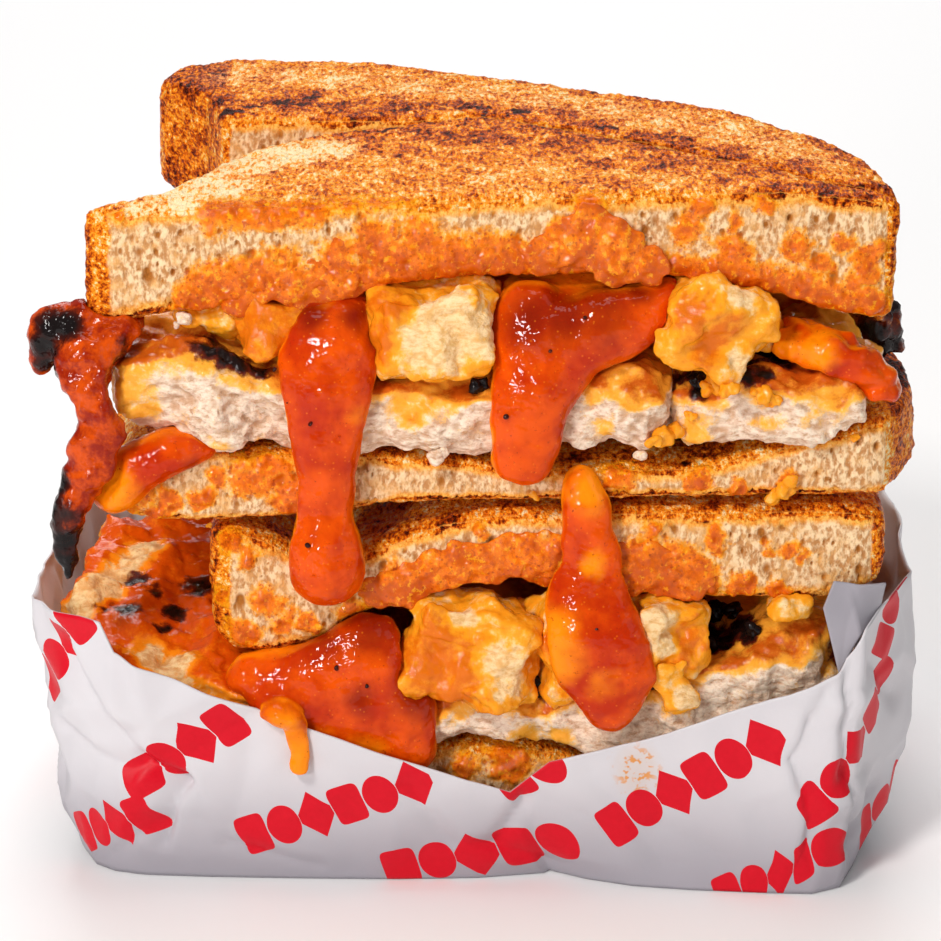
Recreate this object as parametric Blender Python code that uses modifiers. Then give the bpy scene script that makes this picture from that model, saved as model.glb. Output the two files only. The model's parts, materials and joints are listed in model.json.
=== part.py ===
"""A griddled chicken melt: triangular halves of a thick toasted sandwich, stacked with their cut faces
to the front and standing in a folded paper wrap.

Units are metres, +Z is up and the cut faces look along -Y. The origin is the centre of the resting
surface, under the middle of the whole object's box. Sizes are written in millimetres times MM.
"""

import math

import bmesh
import bpy
from mathutils import Euler, Matrix, Vector, noise

MM = 0.001

# Driving dimensions.
MIDDLE_X, MIDDLE_Y = 0.5, 41.2  # the middle of the whole object's box, in mm from the working zero,
# which is on the plane of the cut faces, under the middle of the upper half
BREAD_EDGE = 2.4  # how far the rims of a slice are rounded
PAPER_THICKNESS = 0.7  # the doubled paper with its folds pressed flat
PIECE_GAP = 0.4  # clear space kept between pieces that touch
CUTTING_GAPS = (PIECE_GAP, 0.0)  # the second cut clears what the grown copy of a thin edge folds past
BEND_STEP_X = 10.0  # spacing of the sections from which a slice is lofted
BEND_STEPS_Y = 3  # stretches of each section from front to back
LARGEST_OVERLAP = 0.001  # in cubic mm, above which two pieces count as running into each other
# Faces that turn by less than an angle are joined after a cut: the widest angle that does no harm.
LEVEL_ANGLES = [math.radians(a) for a in (5.0, 2.5, 1.0, 0.3)]

# The wrap's front from its left corner to its right one: base x, base y, rim x, rim y, rim height.
# The rim falls from both corners to a low point, where the left panel laps over the right one.
WRAP_LEFT_PANEL = [(-69.0, 9.0, -75.7, 8.0, 49.5), (-66.5, 3.0, -71.5, 0.5, 50.0),
                   (-63.0, 0.8, -67.0, -4.0, 50.6), (-59.0, 0.0, -63.9, -6.0, 50.2),
                   (-57.0, -0.4, -61.6, -6.2, 44.8), (-46.0, -1.2, -50.0, -6.4, 39.7),
                   (-30.0, -1.8, -33.0, -6.6, 32.6), (-13.0, -2.2, -14.0, -6.6, 25.8),
                   (1.0, -1.6, -1.0, -6.4, 21.1), (12.5, 0.4, 6.4, -6.2, 18.9)]
WRAP_RIGHT_PANEL = [(13.5, 0.6, 7.6, -6.2, 19.6), (20.0, -3.0, 13.0, -6.0, 24.3),
                    (28.0, -5.8, 24.0, -6.0, 26.9), (38.0, -7.4, 34.0, -6.2, 29.4),
                    (50.0, -8.6, 49.0, -6.2, 35.0), (59.0, -9.0, 63.4, -6.2, 41.4),
                    (64.0, -6.4, 66.6, -5.0, 48.5), (67.0, 2.0, 70.5, 5.0, 49.8),
                    (69.4, 11.0, 75.4, 17.0, 50.5)]
WRAP_BACK = [(69.0, 78.0, 76.0, 85.0, 50.0), (-68.0, 78.0, -73.0, 85.0, 48.0)]
WRAP_LAP_STEP = 0.9  # how far the left panel stands in front of the right one
WRAP_BELLY = 3.5  # how far the right-hand wall swells half way up

COLOURS = {
    "toast": ((0.62, 0.27, 0.06), 0.55),
    "chicken": ((0.78, 0.55, 0.33), 0.5),
    "sauce": ((0.72, 0.13, 0.01), 0.15),
    "cheese": ((0.85, 0.35, 0.02), 0.25),
    "char": ((0.16, 0.03, 0.01), 0.3),
    "paper": ((0.82, 0.82, 0.83), 0.6),
}


def finish_material(name):
    """The plain Principled material of one kind of food, made once."""
    known = bpy.data.materials.get(name)
    if known:
        return known
    colour, roughness = COLOURS[name]
    material = bpy.data.materials.new(name)
    material.use_nodes = True
    shader = material.node_tree.nodes["Principled BSDF"]
    shader.inputs["Base Color"].default_value = (*colour, 1.0)
    shader.inputs["Roughness"].default_value = roughness
    shader.inputs["Metallic"].default_value = 0.0
    return material


def place(x, y, z):
    """A point given in mm from the working zero, as a vector in metres."""
    return Vector((x - MIDDLE_X, y - MIDDLE_Y, z)) * MM


def profile(stations, x):
    """The height at x on a smooth line through (x, height) stations."""
    if x <= stations[0][0]:
        return stations[0][1]
    for (x0, h0), (x1, h1) in zip(stations, stations[1:]):
        if x <= x1:
            share = (x - x0) / (x1 - x0)
            share = share * share * (3 - 2 * share)
            return h0 + (h1 - h0) * share
    return stations[-1][1]


def in_order(mesh, name):
    """A copy whose vertices and faces stand in an order that the shape alone decides.

    Blender's tools may return the same shape in another order from one run to the next.
    """
    points = [tuple(v.co) for v in mesh.vertices]
    ranking = sorted(range(len(points)), key=lambda i: [round(c, 8) for c in points[i]])
    place_of = {old: new for new, old in enumerate(ranking)}
    faces = []
    for polygon in mesh.polygons:
        corners = [place_of[i] for i in polygon.vertices]
        first = corners.index(min(corners))
        faces.append(corners[first:] + corners[:first])
    ordered = bpy.data.meshes.new(name)
    ordered.from_pydata([points[i] for i in ranking], [], sorted(faces))
    return ordered


def replace_mesh(obj, made):
    """The object takes the made mesh in its fixed order and keeps its material."""
    old = obj.data
    obj.data = in_order(made, obj.name)
    obj.data.materials.append(old.materials[0])
    bpy.data.meshes.remove(old)
    bpy.data.meshes.remove(made)


def replace_by_bmesh(obj, bm):
    made = bpy.data.meshes.new(obj.name)
    bm.to_mesh(made)
    bm.free()
    replace_mesh(obj, made)


def object_from(bm, name, material, collection):
    mesh = bpy.data.meshes.new(name)
    mesh.materials.append(finish_material(material))
    obj = bpy.data.objects.new(name, mesh)
    collection.objects.link(obj)
    replace_by_bmesh(obj, bm)
    return obj


def apply_modifiers(obj):
    """The object's evaluated mesh takes the place of its mesh, and its modifiers go."""
    graph = bpy.context.evaluated_depsgraph_get()
    graph.update()
    made = bpy.data.meshes.new_from_object(obj.evaluated_get(graph))
    obj.modifiers.clear()
    replace_mesh(obj, made)


def triangulate(obj):
    bm = bmesh.new()
    bm.from_mesh(obj.data)
    bmesh.ops.triangulate(bm, faces=bm.faces)
    replace_by_bmesh(obj, bm)


def triangle_count(obj):
    return sum(len(p.vertices) - 2 for p in obj.data.polygons)


def thin_out(obj, triangles):
    """Decimates to about this many triangles."""
    share = triangles / max(triangle_count(obj), 1)
    if share < 1:
        decimate = obj.modifiers.new("thin_out", "DECIMATE")
        decimate.ratio = share
        apply_modifiers(obj)


def one_skin(obj, voxel, smooth_rounds):
    """Fuses overlapping shapes into one even skin and softens it."""
    remesh = obj.modifiers.new("one_skin", "REMESH")
    remesh.mode = "VOXEL"
    remesh.voxel_size = voxel * MM
    soften = obj.modifiers.new("soften", "SMOOTH")
    soften.factor = 0.5
    soften.iterations = smooth_rounds
    apply_modifiers(obj)


def crag(obj, scale, depth, seed):
    """Pushes the surface in and out by smooth noise, scale and depth in mm."""
    shift = Vector((seed * 17.3, seed * 5.1, seed * 9.7))
    moved = []
    for v in obj.data.vertices:
        there = v.co / (scale * MM) + shift
        moved.append(v.co + v.normal * noise.noise(there) * depth * MM)
    for v, co in zip(obj.data.vertices, moved):
        v.co = co
    obj.data.update()


def along(stations, x):
    """The value at x on straight lines through (x, value) stations."""
    for (x0, v0), (x1, v1) in zip(stations, stations[1:]):
        if x <= x1:
            return v0 + (v1 - v0) * max(x - x0, 0.0) / (x1 - x0)
    return stations[-1][1]


def unevenness(point):
    """The small wander of a baked surface, in mm: smooth noise read at three places."""
    there = point / 14.0
    wander = [noise.noise(there + Vector((shift, shift, shift))) for shift in (0.0, 31.7, 57.3)]
    return Vector((wander[0] * 0.6, wander[1] * 0.4, wander[2] * 0.5))


def section(x, inset, front, back, under, over, edge):
    """The closed outline of a slice at x, with rounded corners, as points in mm.

    inset draws the whole outline in, which rounds the slice's two ends.
    """
    near, far = along(front, x), along(back, x)
    low, high = profile(under, x), profile(over, x)
    inset = min(inset, (far - near) * 0.3, (high - low) * 0.3)
    near, far, low, high = near + inset, far - inset, low + inset, high - inset
    edge = min(edge, (far - near) * 0.45, (high - low) * 0.45)
    bite = edge * 0.3
    points = [Vector((x, near, low + edge)), Vector((x, near + bite, low + bite)), Vector((x, near + edge, low))]
    depths = [near + edge + (far - near - 2 * edge) * k / BEND_STEPS_Y for k in range(1, BEND_STEPS_Y)]
    points += [Vector((x, y, low)) for y in depths]
    points += [Vector((x, far - edge, low)), Vector((x, far - bite, low + bite)), Vector((x, far, low + edge))]
    points += [Vector((x, far, high - edge)), Vector((x, far - bite, high - bite)), Vector((x, far - edge, high))]
    points += [Vector((x, y, high)) for y in reversed(depths)]
    points += [Vector((x, near + edge, high)), Vector((x, near + bite, high - bite)), Vector((x, near, high - edge))]
    return points


def slab(name, material, collection, front, back, under, over, edge, rise=0.0):
    """A flat piece lofted from left to right.

    front and back are its (x, y) edges seen from above, under and over the (x, height) lines of its two
    sides along the cut face, all in mm. rise lifts the piece for each mm of depth.
    """
    left, right = front[0][0], front[-1][0]
    marks = [x for x, y in front[1:-1] + back[1:-1]]
    steps = round((right - left) / BEND_STEP_X)
    marks += [left + (right - left) * k / steps for k in range(1, steps)]
    stations = [(left, edge), (left + edge * 0.3, edge * 0.3)]
    for x in sorted(marks):
        if x - stations[-1][0] > 2.4 and right - x > edge:
            stations.append((x, 0.0))
    stations += [(right - edge * 0.3, edge * 0.3), (right, edge)]
    bm = bmesh.new()
    rings = []
    for x, inset in stations:
        ring = []
        for p in section(x, inset, front, back, under, over, edge):
            p += unevenness(p) + Vector((0, 0, rise * p.y))
            ring.append(bm.verts.new(place(*p)))
        rings.append(ring)
    for a, b in zip(rings, rings[1:]):
        for k in range(len(a)):
            bm.faces.new([a[k - 1], b[k - 1], b[k], a[k]])
    bm.faces.new(rings[0])
    bm.faces.new(list(reversed(rings[-1])))
    bmesh.ops.recalc_face_normals(bm, faces=bm.faces)
    obj = object_from(bm, name, material, collection)
    triangulate(obj)
    return obj


def torn_slab(name, collection, front, back, under, over, triangles, seed, rise=0.0):
    """A slab of chicken: the same bent piece with the crags of torn meat."""
    obj = slab(name, "chicken", collection, front, back, under, over, 3.0, rise)
    one_skin(obj, 1.3, 1)
    crag(obj, 9.0, 3.2, seed)
    crag(obj, 4.0, 1.4, seed + 1)
    thin_out(obj, triangles)
    return obj


def chunk(name, collection, centre, size, turn, triangles, seed):
    """A torn cube of chicken. centre and size are in mm, turn in degrees."""
    bm = bmesh.new()
    bmesh.ops.create_cube(bm, size=1.0)
    bmesh.ops.bevel(bm, geom=bm.edges[:], offset=0.17, segments=3, profile=0.55, affect="EDGES")
    turned = Euler([math.radians(a) for a in turn]).to_matrix().to_4x4()
    scaled = Matrix.Diagonal((*[s * MM for s in size], 1.0))
    bm.transform(Matrix.Translation(place(*centre)) @ turned @ scaled)
    obj = object_from(bm, name, "chicken", collection)
    one_skin(obj, 0.8, 1)
    crag(obj, 6.0, 3.0, seed)
    crag(obj, 2.6, 1.1, seed + 1)
    thin_out(obj, triangles)
    return obj


def strand(points, steps=6):
    """Balls along a path. Each key point is (x, y, z, radius across, radius front to back, radius up)."""
    balls = []
    for a, b in zip(points, points[1:]):
        for k in range(steps):
            share = k / steps
            balls.append([p + (q - p) * share for p, q in zip(a, b)])
    balls.append(list(points[-1]))
    return balls


def poured(name, material, collection, balls, triangles, voxel=0.9, smooth_rounds=4, crags=None):
    """A thick liquid or soft piece: overlapping balls fused into one smooth skin."""
    bm = bmesh.new()
    for x, y, z, across, through, up in balls:
        matrix = Matrix.Translation(place(x, y, z)) @ Matrix.Diagonal((across * MM, through * MM, up * MM, 1.0))
        bmesh.ops.create_icosphere(bm, subdivisions=2, radius=1.0, matrix=matrix)
    obj = object_from(bm, name, material, collection)
    one_skin(obj, voxel, smooth_rounds)
    for scale, depth, seed in crags or []:
        crag(obj, scale, depth, seed)
    thin_out(obj, triangles)
    return obj


def grown_copy(obj, gap, collection):
    """A cutter: the piece with every face moved out by the gap."""
    bm = bmesh.new()
    bm.from_mesh(obj.data)
    bm.normal_update()
    moves = [v.normal * min(v.calc_shell_factor(), 1.8) * gap * MM for v in bm.verts]
    for v, move in zip(bm.verts, moves):
        v.co += move
    mesh = bpy.data.meshes.new(obj.name + "_cutter")
    bm.to_mesh(mesh)
    bm.free()
    cutter = bpy.data.objects.new(obj.name + "_cutter", mesh)
    cutter.hide_render = True
    cutter.display_type = "WIRE"
    collection.objects.link(cutter)
    return cutter


def boxes_meet(a, b, margin):
    for axis in range(3):
        a_low, a_high = min(c[axis] for c in a.bound_box), max(c[axis] for c in a.bound_box)
        b_low, b_high = min(c[axis] for c in b.bound_box), max(c[axis] for c in b.bound_box)
        if a_low > b_high + margin or b_low > a_high + margin:
            return False
    return True


def bodies_of(bm):
    """The mesh's separate bodies, each a list of faces in the mesh's own order."""
    bodies, seen = [], set()
    for start in bm.faces:
        if start in seen:
            continue
        body, waiting = [], [start]
        seen.add(start)
        while waiting:
            face = waiting.pop()
            body.append(face)
            for other in (f for e in face.edges for f in e.link_faces if f not in seen):
                seen.add(other)
                waiting.append(other)
        bodies.append(body)
    return bodies


def keep_largest_body(obj):
    """Drops the scraps that a cut leaves, so that one closed body stays."""
    bm = bmesh.new()
    bm.from_mesh(obj.data)
    bodies = bodies_of(bm)
    largest = set(max(bodies, key=lambda body: sum(f.calc_area() for f in body)))
    bmesh.ops.delete(bm, geom=[f for f in bm.faces if f not in largest], context="FACES")
    replace_by_bmesh(obj, bm)


def boolean(obj, other, operation):
    """The uneven, remeshed skins make the EXACT solver lose whole pieces, so the cuts use MANIFOLD."""
    step = obj.modifiers.new(operation.lower(), "BOOLEAN")
    step.operation = operation
    step.solver = "MANIFOLD"
    step.object = other
    apply_modifiers(obj)


def shares_space(obj, neighbours, cutters):
    """Whether the piece reaches into a neighbour."""
    for other in neighbours:
        probe = bpy.data.objects.new("probe", obj.data.copy())
        cutters.objects.link(probe)
        boolean(probe, other, "INTERSECT")
        bm = bmesh.new()
        bm.from_mesh(probe.data)
        shared = bm.calc_volume()
        bm.free()
        bpy.data.objects.remove(probe)
        if shared > LARGEST_OVERLAP * MM ** 3:
            return True
    return False


def join_level_faces(obj, neighbours, cutters):
    """Joins faces that turn very little, by the widest angle that keeps the piece closed and clear."""
    before = obj.data.copy()
    for angle in LEVEL_ANGLES:
        bm = bmesh.new()
        bm.from_mesh(before)
        bmesh.ops.dissolve_limit(bm, angle_limit=angle, verts=bm.verts, edges=bm.edges)
        bmesh.ops.triangulate(bm, faces=bm.faces)
        closed = all(len(e.link_faces) == 2 and e.calc_length() > 1e-6 for e in bm.edges)
        sound = closed and min(f.calc_area() for f in bm.faces) > 0
        replace_by_bmesh(obj, bm)
        if sound and not shares_space(obj, neighbours, cutters):
            bpy.data.meshes.remove(before)
            return
    replace_mesh(obj, before)


def settle(obj, settled, cutters):
    """Cuts the piece back from every settled neighbour, leaving the gap, and settles it too."""
    bpy.context.view_layer.update()
    neighbours = [other for other in settled if boxes_meet(obj, other, PIECE_GAP * MM)]
    for other in neighbours:
        for gap in CUTTING_GAPS:
            cutter = grown_copy(other, gap, cutters)
            boolean(obj, cutter, "DIFFERENCE")
            bpy.data.objects.remove(cutter)
    keep_largest_body(obj)
    join_level_faces(obj, neighbours, cutters)
    settled.append(obj)
    return obj


# ---- the paper wrap ----


def between(start, end, count):
    """Evenly spaced columns from start to end, both left out."""
    columns = []
    for k in range(1, count):
        share = k / count
        columns.append([p + (q - p) * share for p, q in zip(start, end)])
    return columns


def wrap_columns():
    """Every upright line of the wrap, anticlockwise from its front left corner."""
    right_back, left_back = WRAP_BACK
    columns = [[*c, WRAP_LAP_STEP * min(1.0, i / 3), 0.0] for i, c in enumerate(WRAP_LEFT_PANEL)]
    columns += [[*c, 0.0, 0.0] for c in WRAP_RIGHT_PANEL]
    columns[-1][6] = WRAP_BELLY
    right_back, left_back = [*right_back, 0.0, 0.0], [*left_back, 0.0, 0.0]
    side = between(columns[-1], right_back, 4)
    rear = between(right_back, left_back, 6)
    left = between(left_back, columns[0], 4)
    return columns + side + rounded(side[-1], right_back, rear[0]) + rear + rounded(rear[-1], left_back, left[0]) + left


def rounded(before, corner, after):
    """Three columns that take a back corner round an arc."""
    soft = []
    for t in (0.2, 0.5, 0.8):
        leave = [c + (a - c) * 0.35 for c, a in zip(corner, after)]
        reach = [c + (b - c) * 0.5 for c, b in zip(corner, before)]
        soft.append([(1 - t) ** 2 * r + 2 * t * (1 - t) * c + t * t * l for r, c, l in zip(reach, corner, leave)])
    return soft


def paper_wrap(collection):
    """The wrap: an open tray of creased walls on a flat base, given its thickness by Solidify."""
    columns = wrap_columns()
    levels = [(0.0, 0.0), (0.07, 0.35), (0.5, 0.62), (1.0, 1.0)]  # share of the height, share of the flare
    middle = Vector((0.0, 40.0))
    bm = bmesh.new()
    grid = []
    for i, (base_x, base_y, rim_x, rim_y, rim_z, step, belly) in enumerate(columns):
        line = []
        for j, (up, out) in enumerate(levels):
            x, y = base_x + (rim_x - base_x) * out, base_y + (rim_y - base_y) * out
            crease = noise.noise(Vector((i * 0.83, j * 0.9, 2.0))) * 1.1 if j in (1, 2) else 0.0
            away = (Vector((x, y)) - middle).normalized() * crease
            swell = belly if j == 2 else 0.0
            lap = step * min(up * 8, 1)
            height = PAPER_THICKNESS + (rim_z - PAPER_THICKNESS) * up
            line.append(bm.verts.new(place(x + away.x + swell, y + away.y - lap, height)))
        grid.append(line)
    for a, b in zip(grid, grid[1:] + grid[:1]):
        for j in range(len(levels) - 1):
            bm.faces.new([a[j], b[j], b[j + 1], a[j + 1]])
    bm.faces.new([line[0] for line in reversed(grid)])
    bmesh.ops.recalc_face_normals(bm, faces=bm.faces)
    obj = object_from(bm, "paper_wrap", "paper", collection)
    thicken = obj.modifiers.new("thickness", "SOLIDIFY")
    thicken.thickness = PAPER_THICKNESS * MM
    thicken.offset = 0.0
    thicken.use_even_offset = True
    apply_modifiers(obj)
    lowest = min(v.co.z for v in obj.data.vertices)
    for v in obj.data.vertices:
        v.co.z -= lowest
    return obj


# ---- the bread ----


def lower_bottom_slice(collection):
    """The slice that lies in the wrap; only its front shows, low in the middle."""
    front = [(-59, 4), (-56, 1), (-52, 0.5), (54, 0.5), (58, 1.5), (60, 5)]
    back = [(-59, 68), (-55, 76), (-46, 79), (46, 79), (56, 76), (60, 68)]
    under = [(-59, 1.6), (60, 1.6)]
    over = [(-59, 19), (-10, 22.5), (5, 24.0), (25, 20), (60, 22)]
    return slab("lower_bottom_slice", "toast", collection, front, back, under, over, BREAD_EDGE)


def lower_top_slice(collection):
    """The pressed top slice of the lower half, dipped where its left corner folds forward."""
    front = [(-44.8, 0.5), (-40, 0), (66, 0), (70.6, 0.6)]
    back = [(-44.8, 40), (-41, 60), (-34, 78), (-20, 83), (44, 83), (60, 76), (66, 60), (70.6, 30)]
    under = [(-44, 43.5), (-38, 41.0), (-28, 43.5), (-18, 49.5), (-8, 53.5), (2, 56.5), (16, 53.0), (30, 51.5),
             (60, 51.2), (70, 54.0)]
    over = [(-44, 64.8), (-36, 62.5), (-27, 57.0), (-18, 60.5), (-9, 64.8), (2, 67.4), (16, 68.2), (50, 68.2),
            (70, 67.8)]
    return slab("lower_top_slice", "toast", collection, front, back, under, over, BREAD_EDGE, rise=-0.01)


def upper_bottom_slice(collection):
    """The slice under the upper filling, pressed thin in the middle; its crust bulges out on the right."""
    front = [(-63.5, 3), (-59, 0.4), (-54, 0), (66, 0), (69.8, 0.8), (73.5, 8), (76.4, 16)]
    back = [(-63.5, 60), (-58, 74), (-46, 82), (-30, 85), (10, 82), (48, 72), (64, 58), (73, 44), (76.4, 34)]
    under = [(-63, 69.6), (-58, 66.6), (-48, 65.5), (-25, 67.2), (-9, 69.5), (2, 70.6), (70, 70.9)]
    over = [(-63, 73.0), (-58, 76.8), (-50, 78.4), (-30, 77.6), (-4, 77.4), (8, 75.4), (16, 75.0), (32, 75.2),
            (45, 77.6), (60, 81.0), (70, 84.0)]
    return slab("upper_bottom_slice", "toast", collection, front, back, under, over, 2.0, rise=0.02)


def upper_front_slice(collection):
    """The top slice's front piece: a corner of the slice behind the long cut, arched over the filling."""
    front = [(-64.8, 0.3), (-62, 0), (68, 0), (70.8, 0.4)]
    back = [(-64.8, 5), (-60, 6), (-51, 10), (-46, 18), (-42, 27), (-36, 34), (-28, 39), (-18, 43), (-8, 46),
            (2, 48), (8, 45), (20, 37.5), (31, 30), (40, 23), (48, 18), (59, 9), (67, 6.5), (70.8, 5.6)]
    under = [(-64, 100.8), (-48, 103.6), (-30, 106.0), (-16, 107.4), (2, 109.6), (34, 109.8), (48, 107.2),
             (62, 103.6), (70, 101.6)]
    over = [(-64, 121.6), (-50, 122.6), (-20, 124.2), (10, 124.9), (50, 124.6), (70, 123.6)]
    return slab("upper_front_slice", "toast", collection, front, back, under, over, BREAD_EDGE)


def upper_rear_slice(collection):
    """The rear piece of the top slice, a band that lies round the back of the front one."""
    front = [(-58, 77), (-53, 73), (-48.5, 67), (-44.5, 50), (-28, 48), (-8, 48), (2, 50), (8, 47), (20, 39.5),
             (31, 32), (40, 25), (48, 20), (59, 11), (67, 8.5), (71.2, 8)]
    back = [(-58, 84), (-54, 91), (-44, 94), (-19, 89.5), (13, 75), (45, 56), (62, 38), (68, 26), (71.2, 14)]
    under = [(-60, 102.4), (-30, 104.6), (0, 107.2), (35, 107.8), (50, 105.6), (70, 101.2)]
    over = [(-60, 123.0), (-40, 124.0), (0, 124.4), (40, 124.2), (60, 123.6), (70, 122.6)]
    return slab("upper_rear_slice", "toast", collection, front, back, under, over, BREAD_EDGE)


# ---- the chicken ----


def lower_chicken(collection):
    """The lower filling: the slab along the front, the browned piece at the left and the part behind."""
    front = torn_slab("lower_front_chicken", collection,
                      [(-12, 3), (-6, -0.5), (20, -1.5), (60, -0.5), (65, 4)],
                      [(-12, 26), (-6, 33), (58, 30), (65, 24)],
                      [(-12, 25.0), (5, 26.0), (25, 23.0), (63, 25.5)],
                      [(-12, 33.5), (5, 34.0), (20, 34.5), (38, 38.5), (56, 44.5), (63, 44.0)],
                      480, 3, rise=0.14)
    left = torn_slab("lower_left_chicken", collection,
                     [(-70, 10), (-66, 0), (-58, -3), (-38, -2.5), (-32, 2)],
                     [(-70, 36), (-64, 46), (-50, 51), (-40, 42), (-32, 28)],
                     [(-70, 24.5), (-32, 24.5)],
                     [(-70, 43.0), (-58, 40.5), (-46, 39.5), (-32, 35.0)],
                     460, 5, rise=0.20)
    rear = torn_slab("lower_rear_chicken", collection,
                     [(-52, 54), (-30, 38), (60, 34), (64, 40)],
                     [(-52, 72), (-46, 78), (54, 78), (64, 68)],
                     [(-52, 25.0), (64, 25.0)],
                     [(-52, 42), (0, 50), (64, 49)],
                     260, 7)
    return [front, left, rear]


def lower_chunks(collection):
    """The torn cubes that stand in the lower gap, from left to right."""
    return [
        chunk("lower_middle_chunk", collection, (-0.5, 1.0, 42.5), (22, 15, 17.5), (-8, 6, -10), 260, 11),
        chunk("lower_covered_chunk", collection, (17.5, 3.0, 42.5), (15, 12, 17), (0, -10, 12), 130, 13),
        chunk("lower_right_chunk", collection, (33.0, 1.0, 46.0), (13.5, 12, 10.5), (5, 14, 25), 180, 15),
        chunk("lower_small_chunk", collection, (34.6, -2.8, 38.0), (6.0, 6.5, 9.0), (0, -12, 10), 110, 17),
        chunk("lower_right_nugget", collection, (54.6, 1.5, 51.0), (6.4, 6, 5.4), (10, 10, 20), 100, 19),
    ]


def upper_chicken(collection):
    """The upper filling: two slabs along the cut face and the charred part behind them."""
    left = torn_slab("upper_left_chicken", collection,
                     [(-62.5, 8), (-58, -0.5), (-50, -3), (30, -3), (34, 1)],
                     [(-62.5, 20), (-54, 38), (-46, 43), (28, 36), (34, 32)],
                     [(-62, 88), (-54, 83.5), (-42, 79.5), (-30, 79.0), (-4, 79.8), (34, 80.5)],
                     [(-62, 93.0), (-54, 98.0), (-44, 98.6), (-32, 94.0), (-16, 92.6), (4, 91.6), (34, 92.0)],
                     560, 21, rise=0.06)
    right = torn_slab("upper_right_chicken", collection,
                      [(31.5, 1), (36, -2), (64, -3), (70, 3)],
                      [(31.5, 32), (36, 35), (60, 30), (70, 22)],
                      [(31, 80.0), (45, 81.0), (60, 83.5), (70, 88.0)],
                      [(31, 91.5), (42, 89.5), (53, 93.5), (60, 93.5), (70, 92.0)],
                      400, 23, rise=0.10)
    rear = torn_slab("upper_rear_chicken", collection,
                     [(-52, 52), (-44, 46), (34, 38), (62, 33), (70, 24), (75, 22)],
                     [(-52, 74), (-44, 80), (-28, 82), (10, 78), (46, 66), (66, 46), (75, 32)],
                     [(-52, 79.5), (30, 80), (60, 84.0), (75, 87.5)],
                     [(-52, 103), (-10, 106), (40, 106), (62, 101), (75, 96.0)],
                     280, 25)
    return [left, right, rear]


def upper_chunks(collection):
    """The torn cubes and the sliver under the top slice, from left to right."""
    return [
        chunk("upper_sliver", collection, (-44.0, 6.0, 101.5), (11, 9, 4.2), (0, 4, 8), 100, 31),
        chunk("upper_left_chunk", collection, (-35.2, 2.5, 100.6), (9.5, 11, 10.0), (0, 18, 20), 150, 33),
        chunk("upper_middle_chunk", collection, (-6.6, 1.0, 101.2), (20.5, 15, 13.5), (4, -3, -5), 260, 35),
        chunk("upper_right_chunk", collection, (40.0, 1.0, 102.0), (15.5, 15, 15.5), (0, 28, 15), 240, 37),
        chunk("upper_right_flake", collection, (48.0, 5.5, 100.6), (7.0, 7, 9.5), (0, 12, -20), 120, 39),
    ]


# ---- sauce, cheese and the charred strip ----


def upper_sauce(collection):
    """The pool under the top slice and the two long drips that run down from it over the layers."""
    pool = strand([(-32, 10, 99, 8, 9, 5.5), (-12, 12, 99, 9, 9, 5.5), (12, 7, 101, 9, 10, 7.0),
                   (30, 7, 103, 9, 9, 5.0)], 5)
    left_head = strand([(-24.5, 4, 103.0, 8.0, 5.5, 5.0), (-24.2, -2.5, 97.0, 8.6, 4.6, 6.0),
                        (-24.4, -4.6, 90.0, 7.6, 3.4, 6.0), (-24.8, -5.0, 82.5, 6.0, 3.0, 5.0)])
    left_drip = strand([(-24.8, -5.0, 82.5, 6.0, 3.0, 5.0), (-24.9, -3.8, 75.0, 4.9, 3.0, 4.5),
                        (-25.0, -4.0, 69.0, 4.7, 3.2, 4.5), (-25.0, -4.6, 63.5, 6.2, 4.4, 5.0),
                        (-24.8, -4.4, 58.6, 6.6, 4.8, 5.8)])
    right_head = strand([(36.0, 3.0, 106.0, 5.0, 5.0, 3.2), (24.0, -0.6, 102.4, 9.0, 5.0, 5.4),
                         (13.0, -2.2, 97.5, 9.4, 4.4, 6.4), (9.4, -4.6, 88.5, 6.8, 3.6, 5.5)])
    right_fill = strand([(9.5, 1.0, 104.5, 5.0, 4.5, 4.5), (7.6, -1.5, 97.0, 4.6, 4.0, 5.0)])
    right_drip = strand([(9.5, -4.6, 88.5, 6.8, 3.6, 5.5), (8.8, -4.8, 82.5, 5.6, 3.4, 5.0),
                         (8.6, -4.0, 79.0, 5.4, 3.6, 4.6)])
    balls = pool + left_head + left_drip + right_head + right_fill + right_drip
    return poured("upper_sauce", "sauce", collection, balls, 640)


def side_sauces(collection):
    """The glob over the left end of the upper bottom slice and the one on the right-hand chicken."""
    left = strand([(-45, 4, 81.0, 6, 6, 2.6), (-52, 0, 78.6, 5, 5, 3.4), (-58.5, -1.5, 75.2, 4.6, 3.6, 4.4),
                   (-61.5, -0.5, 71.6, 3.6, 4, 3.6)])
    right = strand([(54, 6, 97, 5, 6, 2.8), (60, 2, 96.5, 5, 5, 3.2), (66, 1.5, 93.2, 4, 4, 3.0),
                    (69.6, 1.5, 89.6, 2.6, 3, 2.4)])
    return [
        poured("left_sauce", "sauce", collection, left, 260),
        poured("right_sauce", "sauce", collection, right, 260),
    ]


def middle_sauce(collection):
    """The spill that starts on the upper half, crosses the lower top slice and ends as a broad tongue."""
    spill = strand([(18.2, -1.2, 74.0, 2.6, 2.4, 2.8), (19.2, -2.0, 70.0, 4.2, 2.8, 4.0),
                    (19.6, -2.2, 64.0, 4.4, 2.6, 4.0), (20.0, -2.4, 58.5, 6.8, 2.8, 4.0)])
    tongue = strand([(20.0, -2.4, 58.5, 6.8, 2.8, 4.0), (19.6, -3.4, 52.0, 7.6, 3.6, 4.5),
                     (21.6, -5.6, 46.5, 9.4, 3.8, 4.6), (23.0, -6.2, 40.5, 9.2, 3.4, 4.8),
                     (23.6, -5.6, 35.8, 5.4, 3.2, 4.6), (23.6, -5.0, 33.4, 4.2, 3.0, 4.2)])
    return poured("middle_sauce", "sauce", collection, spill + tongue, 300)


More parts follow.
